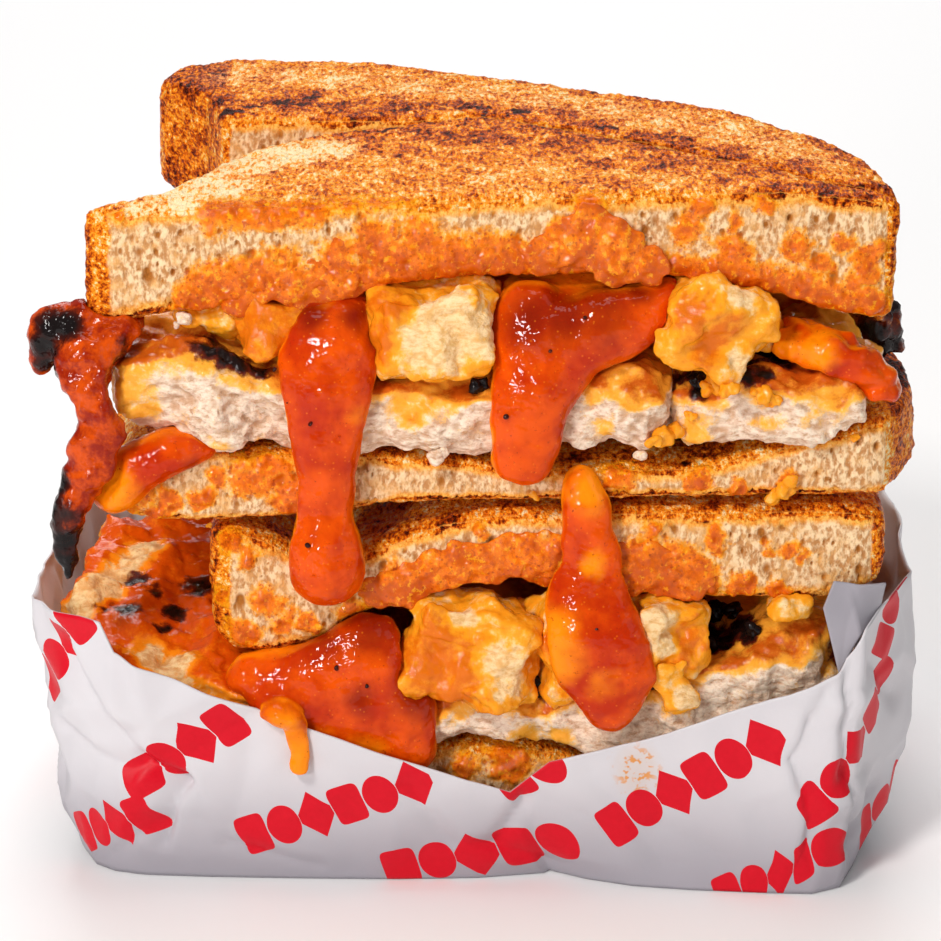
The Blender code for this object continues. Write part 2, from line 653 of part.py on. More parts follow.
def lower_sauce(collection):
    """The pool at the left of the lower gap, with one drip over the rim of the wrap."""
    pool = strand([(-38, -0.6, 37.0, 5, 4.5, 4.0), (-29, -1.4, 35.5, 8, 5, 6.5), (-19, -1.8, 35.5, 10, 5, 9.5),
                   (-13, -1.8, 31.5, 7, 4.6, 9.0), (-10.5, -1.6, 25.0, 4.4, 4.2, 4.4)])
    lip = strand([(-34, -3.4, 31.5, 4.5, 2.6, 4.0), (-22, -3.2, 27.5, 5.0, 2.6, 4.0), (-12, -2.6, 24.0, 4, 2.6, 3)])
    over_rim = strand([(-35, -4.4, 34.6, 3.0, 2.6, 2.4), (-33.0, -8.4, 33.6, 3.6, 2.2, 2.2),
                       (-30.4, -9.4, 30.0, 3.2, 1.8, 3.0), (-29.8, -9.5, 25.6, 3.4, 2.1, 3.2)])
    return poured("lower_sauce", "sauce", collection, pool + lip + over_rim, 400)


def melted_cheese(collection):
    """The bubbly cheese that has run over the cut faces: two patches above and one along the lower slice."""
    upper_left = strand([(-38, -0.3, 104.5, 5, 1.4, 3.0), (-28, -0.6, 108.5, 6, 2.0, 5.0),
                         (-20, -0.6, 112.0, 6, 1.8, 5.5), (-11, -0.4, 113.0, 5, 1.5, 4.5)])
    upper_right = strand([(12, -0.6, 113.5, 6, 1.6, 3.5), (20, -1.4, 118.0, 5, 2.6, 5.0),
                          (24, -1.8, 114.0, 6, 3.0, 4.6), (30, -1.6, 112.0, 4, 2.8, 3.2)])
    lower = strand([(-15, -0.8, 52.8, 5, 2.0, 3.0), (-4, -1.2, 58.0, 6, 2.4, 3.6), (8, -1.0, 59.5, 7, 2.2, 4.4),
                    (14, -0.8, 60.0, 5, 2.0, 5.0), (30, -1.0, 57.5, 7, 2.4, 4.6), (38, -0.8, 55.0, 4, 2.2, 3.4)])
    knobs = [(5.0, 1.2, 51), (2.4, 0.8, 52)]
    return [
        poured("upper_left_cheese", "cheese", collection, upper_left, 240, 0.8, 2, knobs),
        poured("upper_right_cheese", "cheese", collection, upper_right, 260, 0.8, 2, knobs),
        poured("lower_cheese", "cheese", collection, lower, 420, 0.8, 2, knobs),
    ]


def charred_strip(collection):
    """The glazed strip that hangs out at the left, black at its upper lobe and at its tip."""
    lobe = strand([(-60, 4, 100.5, 5, 4, 4.0), (-66, 2, 101.0, 4.4, 3.6, 4.2), (-72.0, 2, 99.4, 3.6, 3.2, 3.8),
                   (-72.6, 2, 95.5, 2.2, 2.6, 3.4)])
    hanging = strand([(-60, 1, 100.0, 5, 4, 4.0), (-65.5, -2.5, 95.4, 5.4, 4.0, 4.6),
                      (-62.5, -4.4, 90.0, 4.6, 3.2, 4.4), (-61.6, -5.4, 84.0, 4.8, 2.6, 4.6),
                      (-62.6, -5.2, 78.0, 4.6, 2.6, 4.4), (-65.6, -4.6, 71.0, 3.6, 2.4, 4.0),
                      (-68.0, -4.2, 65.0, 2.5, 2.1, 3.4), (-68.6, -3.8, 60.0, 1.9, 1.8, 3.0)])
    return poured("charred_strip", "char", collection, lobe + hanging, 420, 0.8, 3, [(6.0, 1.0, 61)])


def clear_scene():
    for obj in list(bpy.data.objects):
        bpy.data.objects.remove(obj)


def new_collection(name):
    collection = bpy.data.collections.new(name)
    bpy.context.scene.collection.children.link(collection)
    return collection


def build():
    clear_scene()
    melt = new_collection("chicken_melt")
    cutters = new_collection("cutters")
    settled = []

    # What carries comes first, so that each piece is cut back from what it lies on.
    pieces = [paper_wrap(melt), lower_bottom_slice(melt), lower_top_slice(melt), upper_bottom_slice(melt),
              upper_front_slice(melt), upper_rear_slice(melt)]
    pieces += lower_chicken(melt) + lower_chunks(melt) + upper_chicken(melt) + upper_chunks(melt)
    pieces += melted_cheese(melt)
    pieces += [charred_strip(melt), upper_sauce(melt)]
    pieces += side_sauces(melt)
    pieces += [middle_sauce(melt), lower_sauce(melt)]
    for piece in pieces:
        settle(piece, settled, cutters)


build()
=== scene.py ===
"""The looks of a griddled chicken melt: two stacked halves of a toasted sandwich in a printed paper wrap.

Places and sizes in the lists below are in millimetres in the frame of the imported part: +X to the right,
+Y to the back and +Z up. The cut faces of the sandwich stand at y = -41.
"""

import json
import math

import bmesh
import bpy
import numpy as np
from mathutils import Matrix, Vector, noise

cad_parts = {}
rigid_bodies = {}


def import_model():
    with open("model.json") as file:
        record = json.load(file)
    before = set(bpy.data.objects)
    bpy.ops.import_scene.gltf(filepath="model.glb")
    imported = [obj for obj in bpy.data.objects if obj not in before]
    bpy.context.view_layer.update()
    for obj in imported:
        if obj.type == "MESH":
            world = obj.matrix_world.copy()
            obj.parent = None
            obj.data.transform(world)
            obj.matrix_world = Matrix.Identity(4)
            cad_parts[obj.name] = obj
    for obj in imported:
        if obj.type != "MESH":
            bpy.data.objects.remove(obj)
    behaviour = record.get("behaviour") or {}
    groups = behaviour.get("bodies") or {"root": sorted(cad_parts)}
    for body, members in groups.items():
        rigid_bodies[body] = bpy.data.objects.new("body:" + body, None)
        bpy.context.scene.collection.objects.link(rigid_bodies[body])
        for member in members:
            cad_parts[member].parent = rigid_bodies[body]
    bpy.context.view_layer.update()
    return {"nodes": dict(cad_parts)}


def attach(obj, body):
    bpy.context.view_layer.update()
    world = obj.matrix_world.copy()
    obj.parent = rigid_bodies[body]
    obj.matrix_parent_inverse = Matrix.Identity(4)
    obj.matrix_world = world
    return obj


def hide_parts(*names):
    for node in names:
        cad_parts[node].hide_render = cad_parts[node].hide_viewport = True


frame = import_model()

# ---- The table, the lamps and the camera ----
# A pale table top under soft studio light. The main lamp stands high at the front left, a small low one
# beside it gives the sauce its glints, and a wide lamp at the right opens the shadows.

MM = 0.001
TABLE_SIZE = 8.0
AIM = Vector((0.0, -0.02, 0.065))

bpy.ops.object.select_all(action="DESELECT")
bpy.ops.mesh.primitive_plane_add(size=TABLE_SIZE, location=(0, 0, 0))
table_top = bpy.context.object
table_top.name = "table_top"

painted_white = bpy.data.materials.new("painted_white")
painted_white.use_nodes = True
shader = painted_white.node_tree.nodes["Principled BSDF"]
shader.inputs["Base Color"].default_value = (0.93, 0.93, 0.93, 1.0)
shader.inputs["Roughness"].default_value = 0.7
table_top.data.materials.append(painted_white)


def lamp(name, place, size, watts, colour, aim=AIM):
    """A square soft box that looks at the food, or at another aim."""
    bpy.ops.object.light_add(type="AREA", location=place)
    soft_box = bpy.context.object
    soft_box.name = name
    soft_box.data.size = size
    soft_box.data.energy = watts
    soft_box.data.color = colour
    soft_box.rotation_euler = (aim - Vector(place)).to_track_quat("-Z", "Y").to_euler()


lamp("main_lamp", (-0.40, -0.66, 0.74), 0.15, 4.9, (1.0, 0.97, 0.93))
lamp("glint_lamp", (-0.42, -0.80, 0.30), 0.12, 2.4, (1.0, 0.96, 0.97))
lamp("side_lamp", (0.75, -0.55, 0.45), 0.6, 1.1, (1.0, 0.98, 0.97))
lamp("top_lamp", (0.0, 0.15, 0.95), 0.5, 3.0, (1.0, 0.98, 0.96))
lamp("background_lamp", (0.0, 1.3, 1.0), 1.0, 12.0, (1.0, 1.0, 1.0), Vector((0.0, 0.75, 0.0)))

world = bpy.data.worlds.new("studio")
bpy.context.scene.world = world
world.use_nodes = True
world.node_tree.nodes["Background"].inputs["Color"].default_value = (0.99, 0.98, 1.0, 1.0)
world.node_tree.nodes["Background"].inputs["Strength"].default_value = 0.20
bpy.context.scene.view_settings.view_transform = "Standard"

bpy.ops.object.camera_add(location=(-0.0009, -0.6971, 0.3141), rotation=(math.radians(70.0), 0, 0))
camera = bpy.context.object
camera.data.lens = 157.0
camera.data.sensor_width = 36.0
bpy.context.scene.camera = camera

# ---- The paper wrap ----
# One sheet of white greaseproof paper, folded up into an open tray round the sandwich. The walls lean
# outwards and are creased by hand; the left part of the front laps over the right part.
# Each line below is one upright of the wall: base x, base y, rim x, rim y, rim height, and how far the
# wall swells half way up.

WRAP = [
    (-69.5, -32.2, -76.2, -33.2, 49.5, 0), (-67, -38.2, -72, -40.7, 50, 0),
    (-63.5, -40.9, -67.5, -45.7, 50.6, 0), (-59.5, -42.1, -64.4, -48.1, 50.2, 0),
    (-57.5, -42.5, -62.1, -48.3, 44.8, 0), (-46.5, -43.3, -50.5, -48.5, 39.7, 0),
    (-30.5, -43.9, -33.5, -48.7, 32.6, 0), (-13.5, -44.3, -14.5, -48.7, 25.8, 0),
    (0.5, -43.7, -1.5, -48.5, 21.1, 0), (12, -41.7, 5.9, -48.3, 18.9, 0),
    (13, -40.6, 7.1, -47.4, 19.6, 0), (19.5, -44.2, 12.5, -47.2, 24.3, 0),
    (27.5, -47, 23.5, -47.2, 26.9, 0), (37.5, -48.6, 33.5, -47.4, 29.4, 0),
    (49.5, -49.8, 48.5, -47.4, 35, 0), (58.5, -50.2, 62.9, -47.4, 41.4, 0),
    (63.5, -47.6, 66.1, -46.2, 48.5, 0), (66.5, -39.2, 70, -36.2, 49.8, 0),
    (68.9, -30.2, 74.9, -24.2, 50.5, 3.5), (68.7, 20, 75.3, 30, 50.2, 0), (62, 36, 69, 42.5, 50, 0),
    (0, 37, 1, 44, 49, 0), (-61, 36, -67, 42.5, 48, 0), (-68, 20, -73.5, 30, 48.4, 0)
]
LAP = 9
PAPER_THICKNESS = 0.32
PAPER_STEP = 0.9
ROWS = 56
UV_PER_MM = 0.01

# Creases: where each starts and ends along the wall and in height, its depth, its width.
CREASES = [
    (-74, 44, -60, 24, 1.3, 5), (-60, 24, -53, 20, 1.6, 3), (-53, 20, -58, 8, 1.4, 3),
    (-78, 26, -62, 22, 1, 3.5), (-58, 12, -70, 3, 0.9, 3), (-50, 26, -36, 36, 0.5, 4),
    (-46, 8, -30, 3, 0.8, 3), (-40, 30, -44, 12, 0.5, 5), (-12, 20, -6, 8, 0.5, 3),
    (7, 17, 1, 8, 0.9, 2.5), (-1, 8, 9, 3, 0.6, 3), (19, 22, 30, 4, 0.4, 5), (60, 38, 55, 25, 0.8, 4),
    (55, 25, 62, 3, 0.7, 4), (63, 44, 66, 22, 1.2, 3), (66, 22, 72, 4, 1, 3), (72, 40, 84, 30, 0.9, 4),
    (80, 14, 68, 8, 0.9, 3), (44, 30, 50, 12, 0.4, 6), (30, 12, 44, 6, 0.4, 4)
]


def along_wall(lines):
    """How far each line stands from the middle of the front, measured along the wall."""
    reach = [0.0]
    for a, b in zip(lines, lines[1:]):
        reach.append(reach[-1] + math.hypot(b[2] - a[2], b[3] - a[3]))
    middle = min(range(len(lines) // 2), key=lambda i: abs(lines[i][2]))
    return [r - reach[middle] for r in reach]


def crease_depth(s, z):
    depth = 0.0
    for s0, z0, s1, z1, deep, wide in CREASES:
        run = Vector((s1 - s0, z1 - z0))
        off = Vector((s - s0, z - z0))
        t = min(max(off.dot(run) / run.length_squared, 0.0), 1.0)
        away = (off - run * t).length
        depth += deep * max(0.0, 1.0 - away / wide) ** 1.5
    return depth


def uneven(x, y, z, size):
    return noise.noise(Vector((x, y, z)) / size)


def ridges(s, z):
    """The sharp ridges of crumpled paper, strongest round the two front corners."""
    distances = noise.voronoi(Vector((s, z * 1.15, 4.0)) / 19.0)[0]
    crumpled = 0.22 + 0.78 * min(max((abs(s) - 40.0) / 16.0, 0.0), 1.0)
    return crumpled * 1.5 * max(0.0, 1.0 - (distances[1] - distances[0]) * 2.6)


lines = []
for i, upright in enumerate(WRAP):
    after = WRAP[(i + 1) % len(WRAP)]
    steps = max(2, round(math.hypot(after[2] - upright[2], after[3] - upright[3]) / PAPER_STEP))
    if i == LAP:
        # Here the left part of the front ends, and the wall steps back to the right part.
        steps = 1
    for k in range(steps):
        part = k / steps
        lines.append([a + (b - a) * part for a, b in zip(upright, after)])
reaches = along_wall(lines)

bm = bmesh.new()
sheet_uv = bm.loops.layers.uv.new("sheet")
rows_of = []
for line, s in zip(lines, reaches):
    base_x, base_y, rim_x, rim_y, rim_z, swell = line
    out = Vector((rim_x, rim_y + 1.0)).normalized()
    row = []
    for j in range(ROWS + 1):
        up = j / ROWS
        flare = up ** 0.8
        z = PAPER_THICKNESS + (rim_z - PAPER_THICKNESS) * up
        x = base_x + (rim_x - base_x) * flare
        y = base_y + (rim_y - base_y) * flare
        push = swell * math.sin(math.pi * up)
        hold = min(up * 6, 1.0)
        push -= crease_depth(s, z) * hold * 1.5
        push += ridges(s, z) * hold
        push += (uneven(s, z, 3, 26) * 1.0 + uneven(s, z, 9, 11) * 0.35) * hold
        push += abs(uneven(s + z * 0.6, z - s * 0.3, 5, 15)) * 0.7 * hold
        row.append((bm.verts.new((Vector((x + out.x * push, y + out.y * push, z))) * MM), s, z))
    rows_of.append(row)
for a, b in zip(rows_of, rows_of[1:] + rows_of[:1]):
    wraps_round = b is rows_of[0]
    for j in range(ROWS):
        corners = [a[j], b[j], b[j + 1], a[j + 1]]
        face = bm.faces.new([c[0] for c in corners])
        for loop, (vert, s, z) in zip(face.loops, corners):
            shown = a[j][1] + PAPER_STEP if wraps_round and vert in (b[j][0], b[j + 1][0]) else s
            loop[sheet_uv].uv = (shown * UV_PER_MM, z * UV_PER_MM)
bm.faces.new([row[0][0] for row in reversed(rows_of)])
bmesh.ops.recalc_face_normals(bm, faces=bm.faces)
paper = bpy.data.objects.new("paper_sheet", bpy.data.meshes.new("paper_sheet"))
bm.to_mesh(paper.data)
bm.free()
bpy.context.scene.collection.objects.link(paper)


def work_on(piece):
    """Makes the piece the only selected one and the one that operators act on."""
    bpy.ops.object.select_all(action="DESELECT")
    bpy.context.view_layer.objects.active = piece
    piece.select_set(True)


def apply_all(piece):
    work_on(piece)
    for step in list(piece.modifiers):
        bpy.ops.object.modifier_apply(modifier=step.name)


def finished(piece, material, slot, *nodes):
    """The piece gets its finish, rides on the sandwich and stands for its solids."""
    piece.data.materials.clear()
    piece.data.materials.append(material)
    work_on(piece)
    bpy.ops.object.shade_smooth()
    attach(piece, "root")
    if nodes:
        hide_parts(*nodes)


def points_of(piece):
    """The piece's points in mm, and the directions that they face."""
    count = len(piece.data.vertices)
    points = np.empty(count * 3, np.float32)
    faces = np.empty(count * 3, np.float32)
    piece.data.vertices.foreach_get("co", points)
    piece.data.vertices.foreach_get("normal", faces)
    return points.reshape(-1, 3) / MM, faces.reshape(-1, 3)


def paint(piece, name, values):
    layer = piece.data.attributes.get(name) or piece.data.attributes.new(name, "FLOAT", "POINT")
    layer.data.foreach_set("value", np.clip(np.asarray(values, np.float32), 0.0, 1.0))


def between(values, low, high):
    """A soft step from 0 at low to 1 at high, on numbers."""
    t = np.clip((values - low) / (high - low), 0.0, 1.0)
    return t * t * (3 - 2 * t)


def thicken(sheet):
    thick = sheet.modifiers.new("thickness", "SOLIDIFY")
    thick.thickness = PAPER_THICKNESS * MM
    thick.offset = 0.0
    apply_all(sheet)


thicken(paper)
points, faces = points_of(paper)
HALF_WIDTH = 76
HALF_DEPTH = 50
outwards = faces[:, 0] * points[:, 0] / HALF_WIDTH + faces[:, 1] * points[:, 1] / HALF_DEPTH
paint(paper, "outside", outwards > 0)


def finish_named(name, roughness):
    """A new material: its node tree, its shader and itself."""
    material = bpy.data.materials.new(name)
    material.use_nodes = True
    tree = material.node_tree
    shader = tree.nodes["Principled BSDF"]
    shader.inputs["Roughness"].default_value = roughness
    return tree, shader, material


def put(kind, inputs, output=0, tree=None, **settings):
    """Adds a node with its settings to the tree that its inputs come from, or to the given one.

    An input that is a socket is linked, and any other is a value.
    """
    sockets = [value for value in inputs.values() if isinstance(value, bpy.types.NodeSocket)]
    tree = tree or sockets[0].id_data
    made = tree.nodes.new(kind)
    for name, value in settings.items():
        setattr(made, name, value)
    for key, value in inputs.items():
        if value in sockets:
            tree.links.new(value, made.inputs[key])
        else:
            made.inputs[key].default_value = value
    return made.outputs[output]


def sums(operation, a, b=0.0):
    """One step of arithmetic on two values."""
    return put("ShaderNodeMath", {0: a, 1: b}, operation=operation)


def plus(a, b):
    return sums("ADD", a, b)


def minus(a, b):
    return sums("SUBTRACT", a, b)


def times(a, b):
    return sums("MULTIPLY", a, b)


def swing(value, share):
    """A value of 0 to 1 as a swing to either side of 0."""
    return times(minus(value, 0.5), share)


def fades(value, low, high):
    """0 below low, 1 above high and a soft step between; low may be above high."""
    inputs = {"Value": value, "From Min": low, "From Max": high}
    return put("ShaderNodeMapRange", inputs, interpolation_type="SMOOTHSTEP")


def mottle(at, size, detail=3.0, roughness=0.6):
    """Soft noise with patches of about that many mm."""
    inputs = {"Vector": at, "Scale": 1000.0 / size, "Detail": detail, "Roughness": roughness}
    return put("ShaderNodeTexNoise", inputs)


def cells(at, size):
    """How far it is to the middle of the nearest of many cells of about that many mm."""
    return put("ShaderNodeTexVoronoi", {"Vector": at, "Scale": 1000.0 / size}, feature="F1")


def mixed(share, a, b):
    """Colour a where share is 0 and colour b where it is 1; each is a socket or three numbers."""
    a, b = [(*colour, 1) if isinstance(colour, tuple) else colour for colour in (a, b)]
    return put("ShaderNodeMix", {0: share, 6: a, 7: b}, 2, data_type="RGBA")


def painted(tree, name):
    """A value that was painted on the piece's points."""
    return put("ShaderNodeAttribute", {}, 2, tree, attribute_name=name)


def place_in_piece(tree):
    return put("ShaderNodeTexCoord", {}, 3, tree)


def stretched(at, x, y, z):
    """Places drawn out along the axes, for patterns longer one way than another."""
    return put("ShaderNodeMapping", {"Vector": at, "Scale": (1 / x, 1 / y, 1 / z)})


def feed(shader, name, value):
    """Links a socket to the shader's input, or sets that input to a value."""
    if isinstance(value, bpy.types.NodeSocket):
        shader.id_data.links.new(value, shader.inputs[name])
    else:
        shader.inputs[name].default_value = value


def roughened(shader, height, depth, strength=1.0):
    """Bump from a height of 0 to 1 that stands for that many mm."""
    inputs = {"Height": height, "Strength": strength, "Distance": depth * MM}
    feed(shader, "Normal", put("ShaderNodeBump", inputs))


def let_light_in(shader, weight, depth, colours):
    """Light goes that many mm into the food, and its colours go in by these shares of that."""
    feed(shader, "Subsurface Weight", weight)
    feed(shader, "Subsurface Scale", depth * MM)
    feed(shader, "Subsurface Radius", colours)


# The print is a row of plain geometric blocks that is stamped on a slant, again and again. Each stamp:
# its middle along the wall and in height, its slant in degrees, its length.
STAMPS = [
    (-52, 26, 33, 26), (-26, 15, 20, 38), (-2, 5.5, 12, 32), (-76, 42, 50, 26), (-68, 10, 22, 22),
    (36, 20, 30, 38), (69, 26, 44, 34), (53, 4, 22, 30), (82, 50, 60, 24), (9, 22.5, 25, 12.4)
]
STAMPS += [(s, z, 30, 36) for s, z in [(94, 14), (112, 34), (140, 16), (160, 36), (190, 14), (215, 34),
                                       (240, 14), (262, 34), (290, 14), (312, 34), (338, 14), (358, 34)]]
STAMP_HEIGHT = 7.8
BLOCK_WIDTH = 6.2

tree, shader, waxed_paper = finish_named("printed_paper", 0.42)
on_sheet = put("ShaderNodeUVMap", {}, 0, tree, uv_map="sheet")
ink = None
for s, z, slant, length in STAMPS:
    blocks = round(length / BLOCK_WIDTH)
    middle = (s * UV_PER_MM, z * UV_PER_MM, 0)
    moved = put("ShaderNodeVectorMath", {0: on_sheet, 1: middle}, operation="SUBTRACT")
    turn = {"Vector": moved, "Angle": -math.radians(slant)}
    turned = put("ShaderNodeVectorRotate", turn, rotation_type="Z_AXIS")
    scale = (blocks / length / UV_PER_MM, 1 / STAMP_HEIGHT / UV_PER_MM, 1)
    sized = put("ShaderNodeVectorMath", {0: turned, 1: scale}, operation="MULTIPLY")
    across = put("ShaderNodeSeparateXYZ", {0: sized}, 0)
    up = put("ShaderNodeSeparateXYZ", {0: sized}, 1)
    shifted = plus(across, blocks / 2)
    number = sums("FLOOR", shifted)
    inside = minus(minus(shifted, number), 0.5)
    sides = sums("ABSOLUTE", inside)
    tops = sums("ABSOLUTE", up)
    # Blocks in turn: a solid square with rounded corners, a disc and a diamond.
    kind = sums("MODULO", plus(number, 30.0), 3.0)
    square = plus(sums("POWER", times(sides, 2.1), 6.0),
                  sums("POWER", times(tops, 2.02), 6.0))
    disc = times(plus(sums("POWER", sides, 2.0), sums("POWER", tops, 2.0)), 4.15)
    diamond = times(plus(sides, tops), 1.62)
    shape = times(sums("LESS_THAN", square, 1.0), sums("LESS_THAN", kind, 0.5))
    middle_one = sums("COMPARE", kind, 1.0)
    shape = plus(shape, times(sums("LESS_THAN", disc, 1.0), middle_one))
    last_one = sums("GREATER_THAN", kind, 1.5)
    shape = plus(shape, times(sums("LESS_THAN", diamond, 1.0), last_one))
    within = sums("LESS_THAN", sums("ABSOLUTE", across), blocks / 2)
    shape = times(shape, within)
    ink = shape if ink is None else sums("MAXIMUM", ink, shape)
at = place_in_piece(tree)
ink = times(ink, painted(tree, "outside"))
fibres = mottle(at, 1.2, 5.0)
cloud = mottle(at, 22.0, 2.0)
white = mixed(cloud, (0.60, 0.58, 0.61), (0.72, 0.70, 0.72))
# Painted shade: the paper is darker towards its foot, where less light falls on it.
height = put("ShaderNodeSeparateXYZ", {0: on_sheet}, 1)
foot_shade = times(fades(height, 0.26, 0.0), 0.85)
white = mixed(foot_shade, white, (0.31, 0.29, 0.33))
# A spot of grease below the rim, with a few orange flecks in it.
from_grease = put("ShaderNodeVectorMath", {0: on_sheet, 1: (0.272, 0.224, 0)}, operation="SUBTRACT")
from_grease = put("ShaderNodeVectorMath", {0: from_grease, 1: (1.25, 1.0, 1.0)}, operation="MULTIPLY")
away = put("ShaderNodeVectorMath", {0: from_grease}, 1, operation="LENGTH")
wavering = swing(mottle(at, 4.0), 0.05)
grease = fades(plus(away, wavering), 0.070, 0.024)
flecks = times(fades(mottle(at, 1.7, 2.0), 0.53, 0.62), grease)
white = mixed(times(grease, 0.38), white, (0.66, 0.50, 0.40))
white = mixed(times(flecks, 0.9), white, (0.72, 0.27, 0.035))
red = mixed(fibres, (0.58, 0.001, 0.010), (0.70, 0.002, 0.018))
feed(shader, "Base Color", mixed(ink, white, red))
feed(shader, "Specular IOR Level", 0.2)
roughened(shader, mottle(at, 2.6, 4.0), 0.12, 0.5)
finished(paper, waxed_paper, "paper", "paper_wrap")

# A corner of the same sheet is folded in at the right and stands up before the bread. Its lower edge is
# tucked behind the wall and its upper edge is free.
FLAP_LOW = [(62.4, -46.0, 40.0), (66.0, -45.0, 47.0), (70.0, -36.5, 49.0)]
FLAP_HIGH = [(59.4, -44.8, 52.0), (61.2, -44.5, 56.6), (65.6, -43.8, 55.6), (70.4, -41.5, 55.0)]
FLAP_STEPS = 24


def along(places, share):
    """The place at a share of the way along a line of places."""
    reach = share * (len(places) - 1)
    first = min(int(reach), len(places) - 2)
    return Vector(places[first]).lerp(Vector(places[first + 1]), reach - first)


bpy.ops.object.select_all(action="DESELECT")
bpy.ops.mesh.primitive_grid_add(x_subdivisions=FLAP_STEPS, y_subdivisions=FLAP_STEPS, size=2.0)
flap = bpy.context.object
flap.name = "paper_flap"
for vert in flap.data.vertices:
    share = (vert.co.x + 1) / 2
    up = (vert.co.y + 1) / 2
    place = along(FLAP_LOW, share).lerp(along(FLAP_HIGH, share), up)
    place.y += uneven(place.x, place.z, 7, 6) * 0.7 - abs(up - share) * 0.9
    vert.co = place * MM
thicken(flap)
for layer in list(flap.data.uv_layers):
    flap.data.uv_layers.remove(layer)
finished(flap, waxed_paper, "paper")

# ---- The slices of toast ----
# Thick white bread, buttered and griddled: golden to dark brown on its two faces and on the crust, pale
# and full of small upright holes where it was cut. Cheese and oily sauce have soaked into the cut faces.


CUT_FACE = -41.2
TOP_FACE = 124
MERGE_WITHIN = 0.01
STATION = 2.0


def fine_copy(node, voxel, rounds, grow):
    """The node's own shape as a new piece: merged, given an even fine skin, softened and filled out."""
    piece = bpy.data.objects.new(node + "_shown", frame["nodes"][node].data.copy())
    bpy.context.scene.collection.objects.link(piece)
    work_on(piece)
    bpy.ops.object.mode_set(mode="EDIT")
    bpy.ops.mesh.select_all(action="SELECT")
    bpy.ops.mesh.remove_doubles(threshold=MERGE_WITHIN * MM)
    bpy.ops.object.mode_set(mode="OBJECT")
    skin = piece.modifiers.new("skin", "REMESH")
    skin.mode = "VOXEL"
    skin.voxel_size = voxel * MM
    soft = piece.modifiers.new("soft", "SMOOTH")
    soft.iterations = rounds
    fuller = piece.modifiers.new("fuller", "DISPLACE")
    fuller.mid_level = 0.0
    fuller.strength = grow * MM
    apply_all(piece)
    return piece


def place_points(piece, points):
    """Puts the piece's points at these places, in mm."""
    piece.data.vertices.foreach_set("co", (points * MM).astype(np.float32).ravel())
    piece.data.update()


def push(piece, amounts):
    """Moves each point along the way it faces, by its amount in mm."""
    points, faces = points_of(piece)
    place_points(piece, points + faces * np.asarray(amounts, np.float32)[:, None])


def noise_on(points, size, shift=0.0):
    """Smooth noise from -1 to 1 at each point, with waves of about size mm; size may differ by axis."""
    scaled = points / np.asarray(size, np.float32) + shift
    return np.array([noise.noise(p) for p in scaled.tolist()], np.float32)


def frayed(points, far=1.7):
    """The points moved about by noise, so that a round spot on them gets a ragged outline."""
    moves = []
    for shift in (1.3, 5.9, 11.1):
        moves.append(noise_on(points, 4.5, shift) * far + noise_on(points, 1.6, shift + 9) * far * 0.5)
    return points + np.stack(moves, 1)


def near(points, spots):
    """1 in the middle of a spot, (x, y, z, radius), falling to 0 at twice its radius."""
    best = np.zeros(len(points), np.float32)
    for x, y, z, radius in spots:
        away = np.sqrt(((points - (x, y, z)) ** 2).sum(1)) / radius
        np.maximum(best, np.clip(1.0 - away / 2.0, 0.0, 1.0), out=best)
    return best


def on_cut(spots, y=CUT_FACE):
    return [(x, y, z, radius) for x, z, radius in spots]


def on_top(spots, z=TOP_FACE, share=1.0):
    return [(x, y, z, radius * share) for x, y, radius in spots]


def crumb_holes(points, size, seed):
    """How deep the holes of the crumb are at each point, from 0 to 1."""
    depths = np.zeros(len(points), np.float32)
    scaled = points / np.asarray(size, np.float32) + seed
    for i, p in enumerate(scaled.tolist()):
        distances, places = noise.voronoi(p)
        wide = 0.22 + 0.30 * abs(noise.noise(places[0] * 3.7 + Vector((seed, 0.3, 0.9))))
        depths[i] = max(0.0, 1.0 - distances[0] / wide)
    return depths


def rim_gaps(points, shown):
    """How far each point is below the upper edge of the cut face and above its lower edge."""
    stations = np.floor(points[:, 0] / STATION).astype(int)
    marks, highs, lows = [], [], []
    for station in range(stations.min(), stations.max() + 1):
        heights = points[shown & (stations == station), 2]
        if len(heights) > 8:
            marks.append((station + 0.5) * STATION)
            highs.append(heights.max())
            lows.append(heights.min())
    below = np.interp(points[:, 0], marks, highs) - points[:, 2]
    above = points[:, 2] - np.interp(points[:, 0], marks, lows)
    return below, above


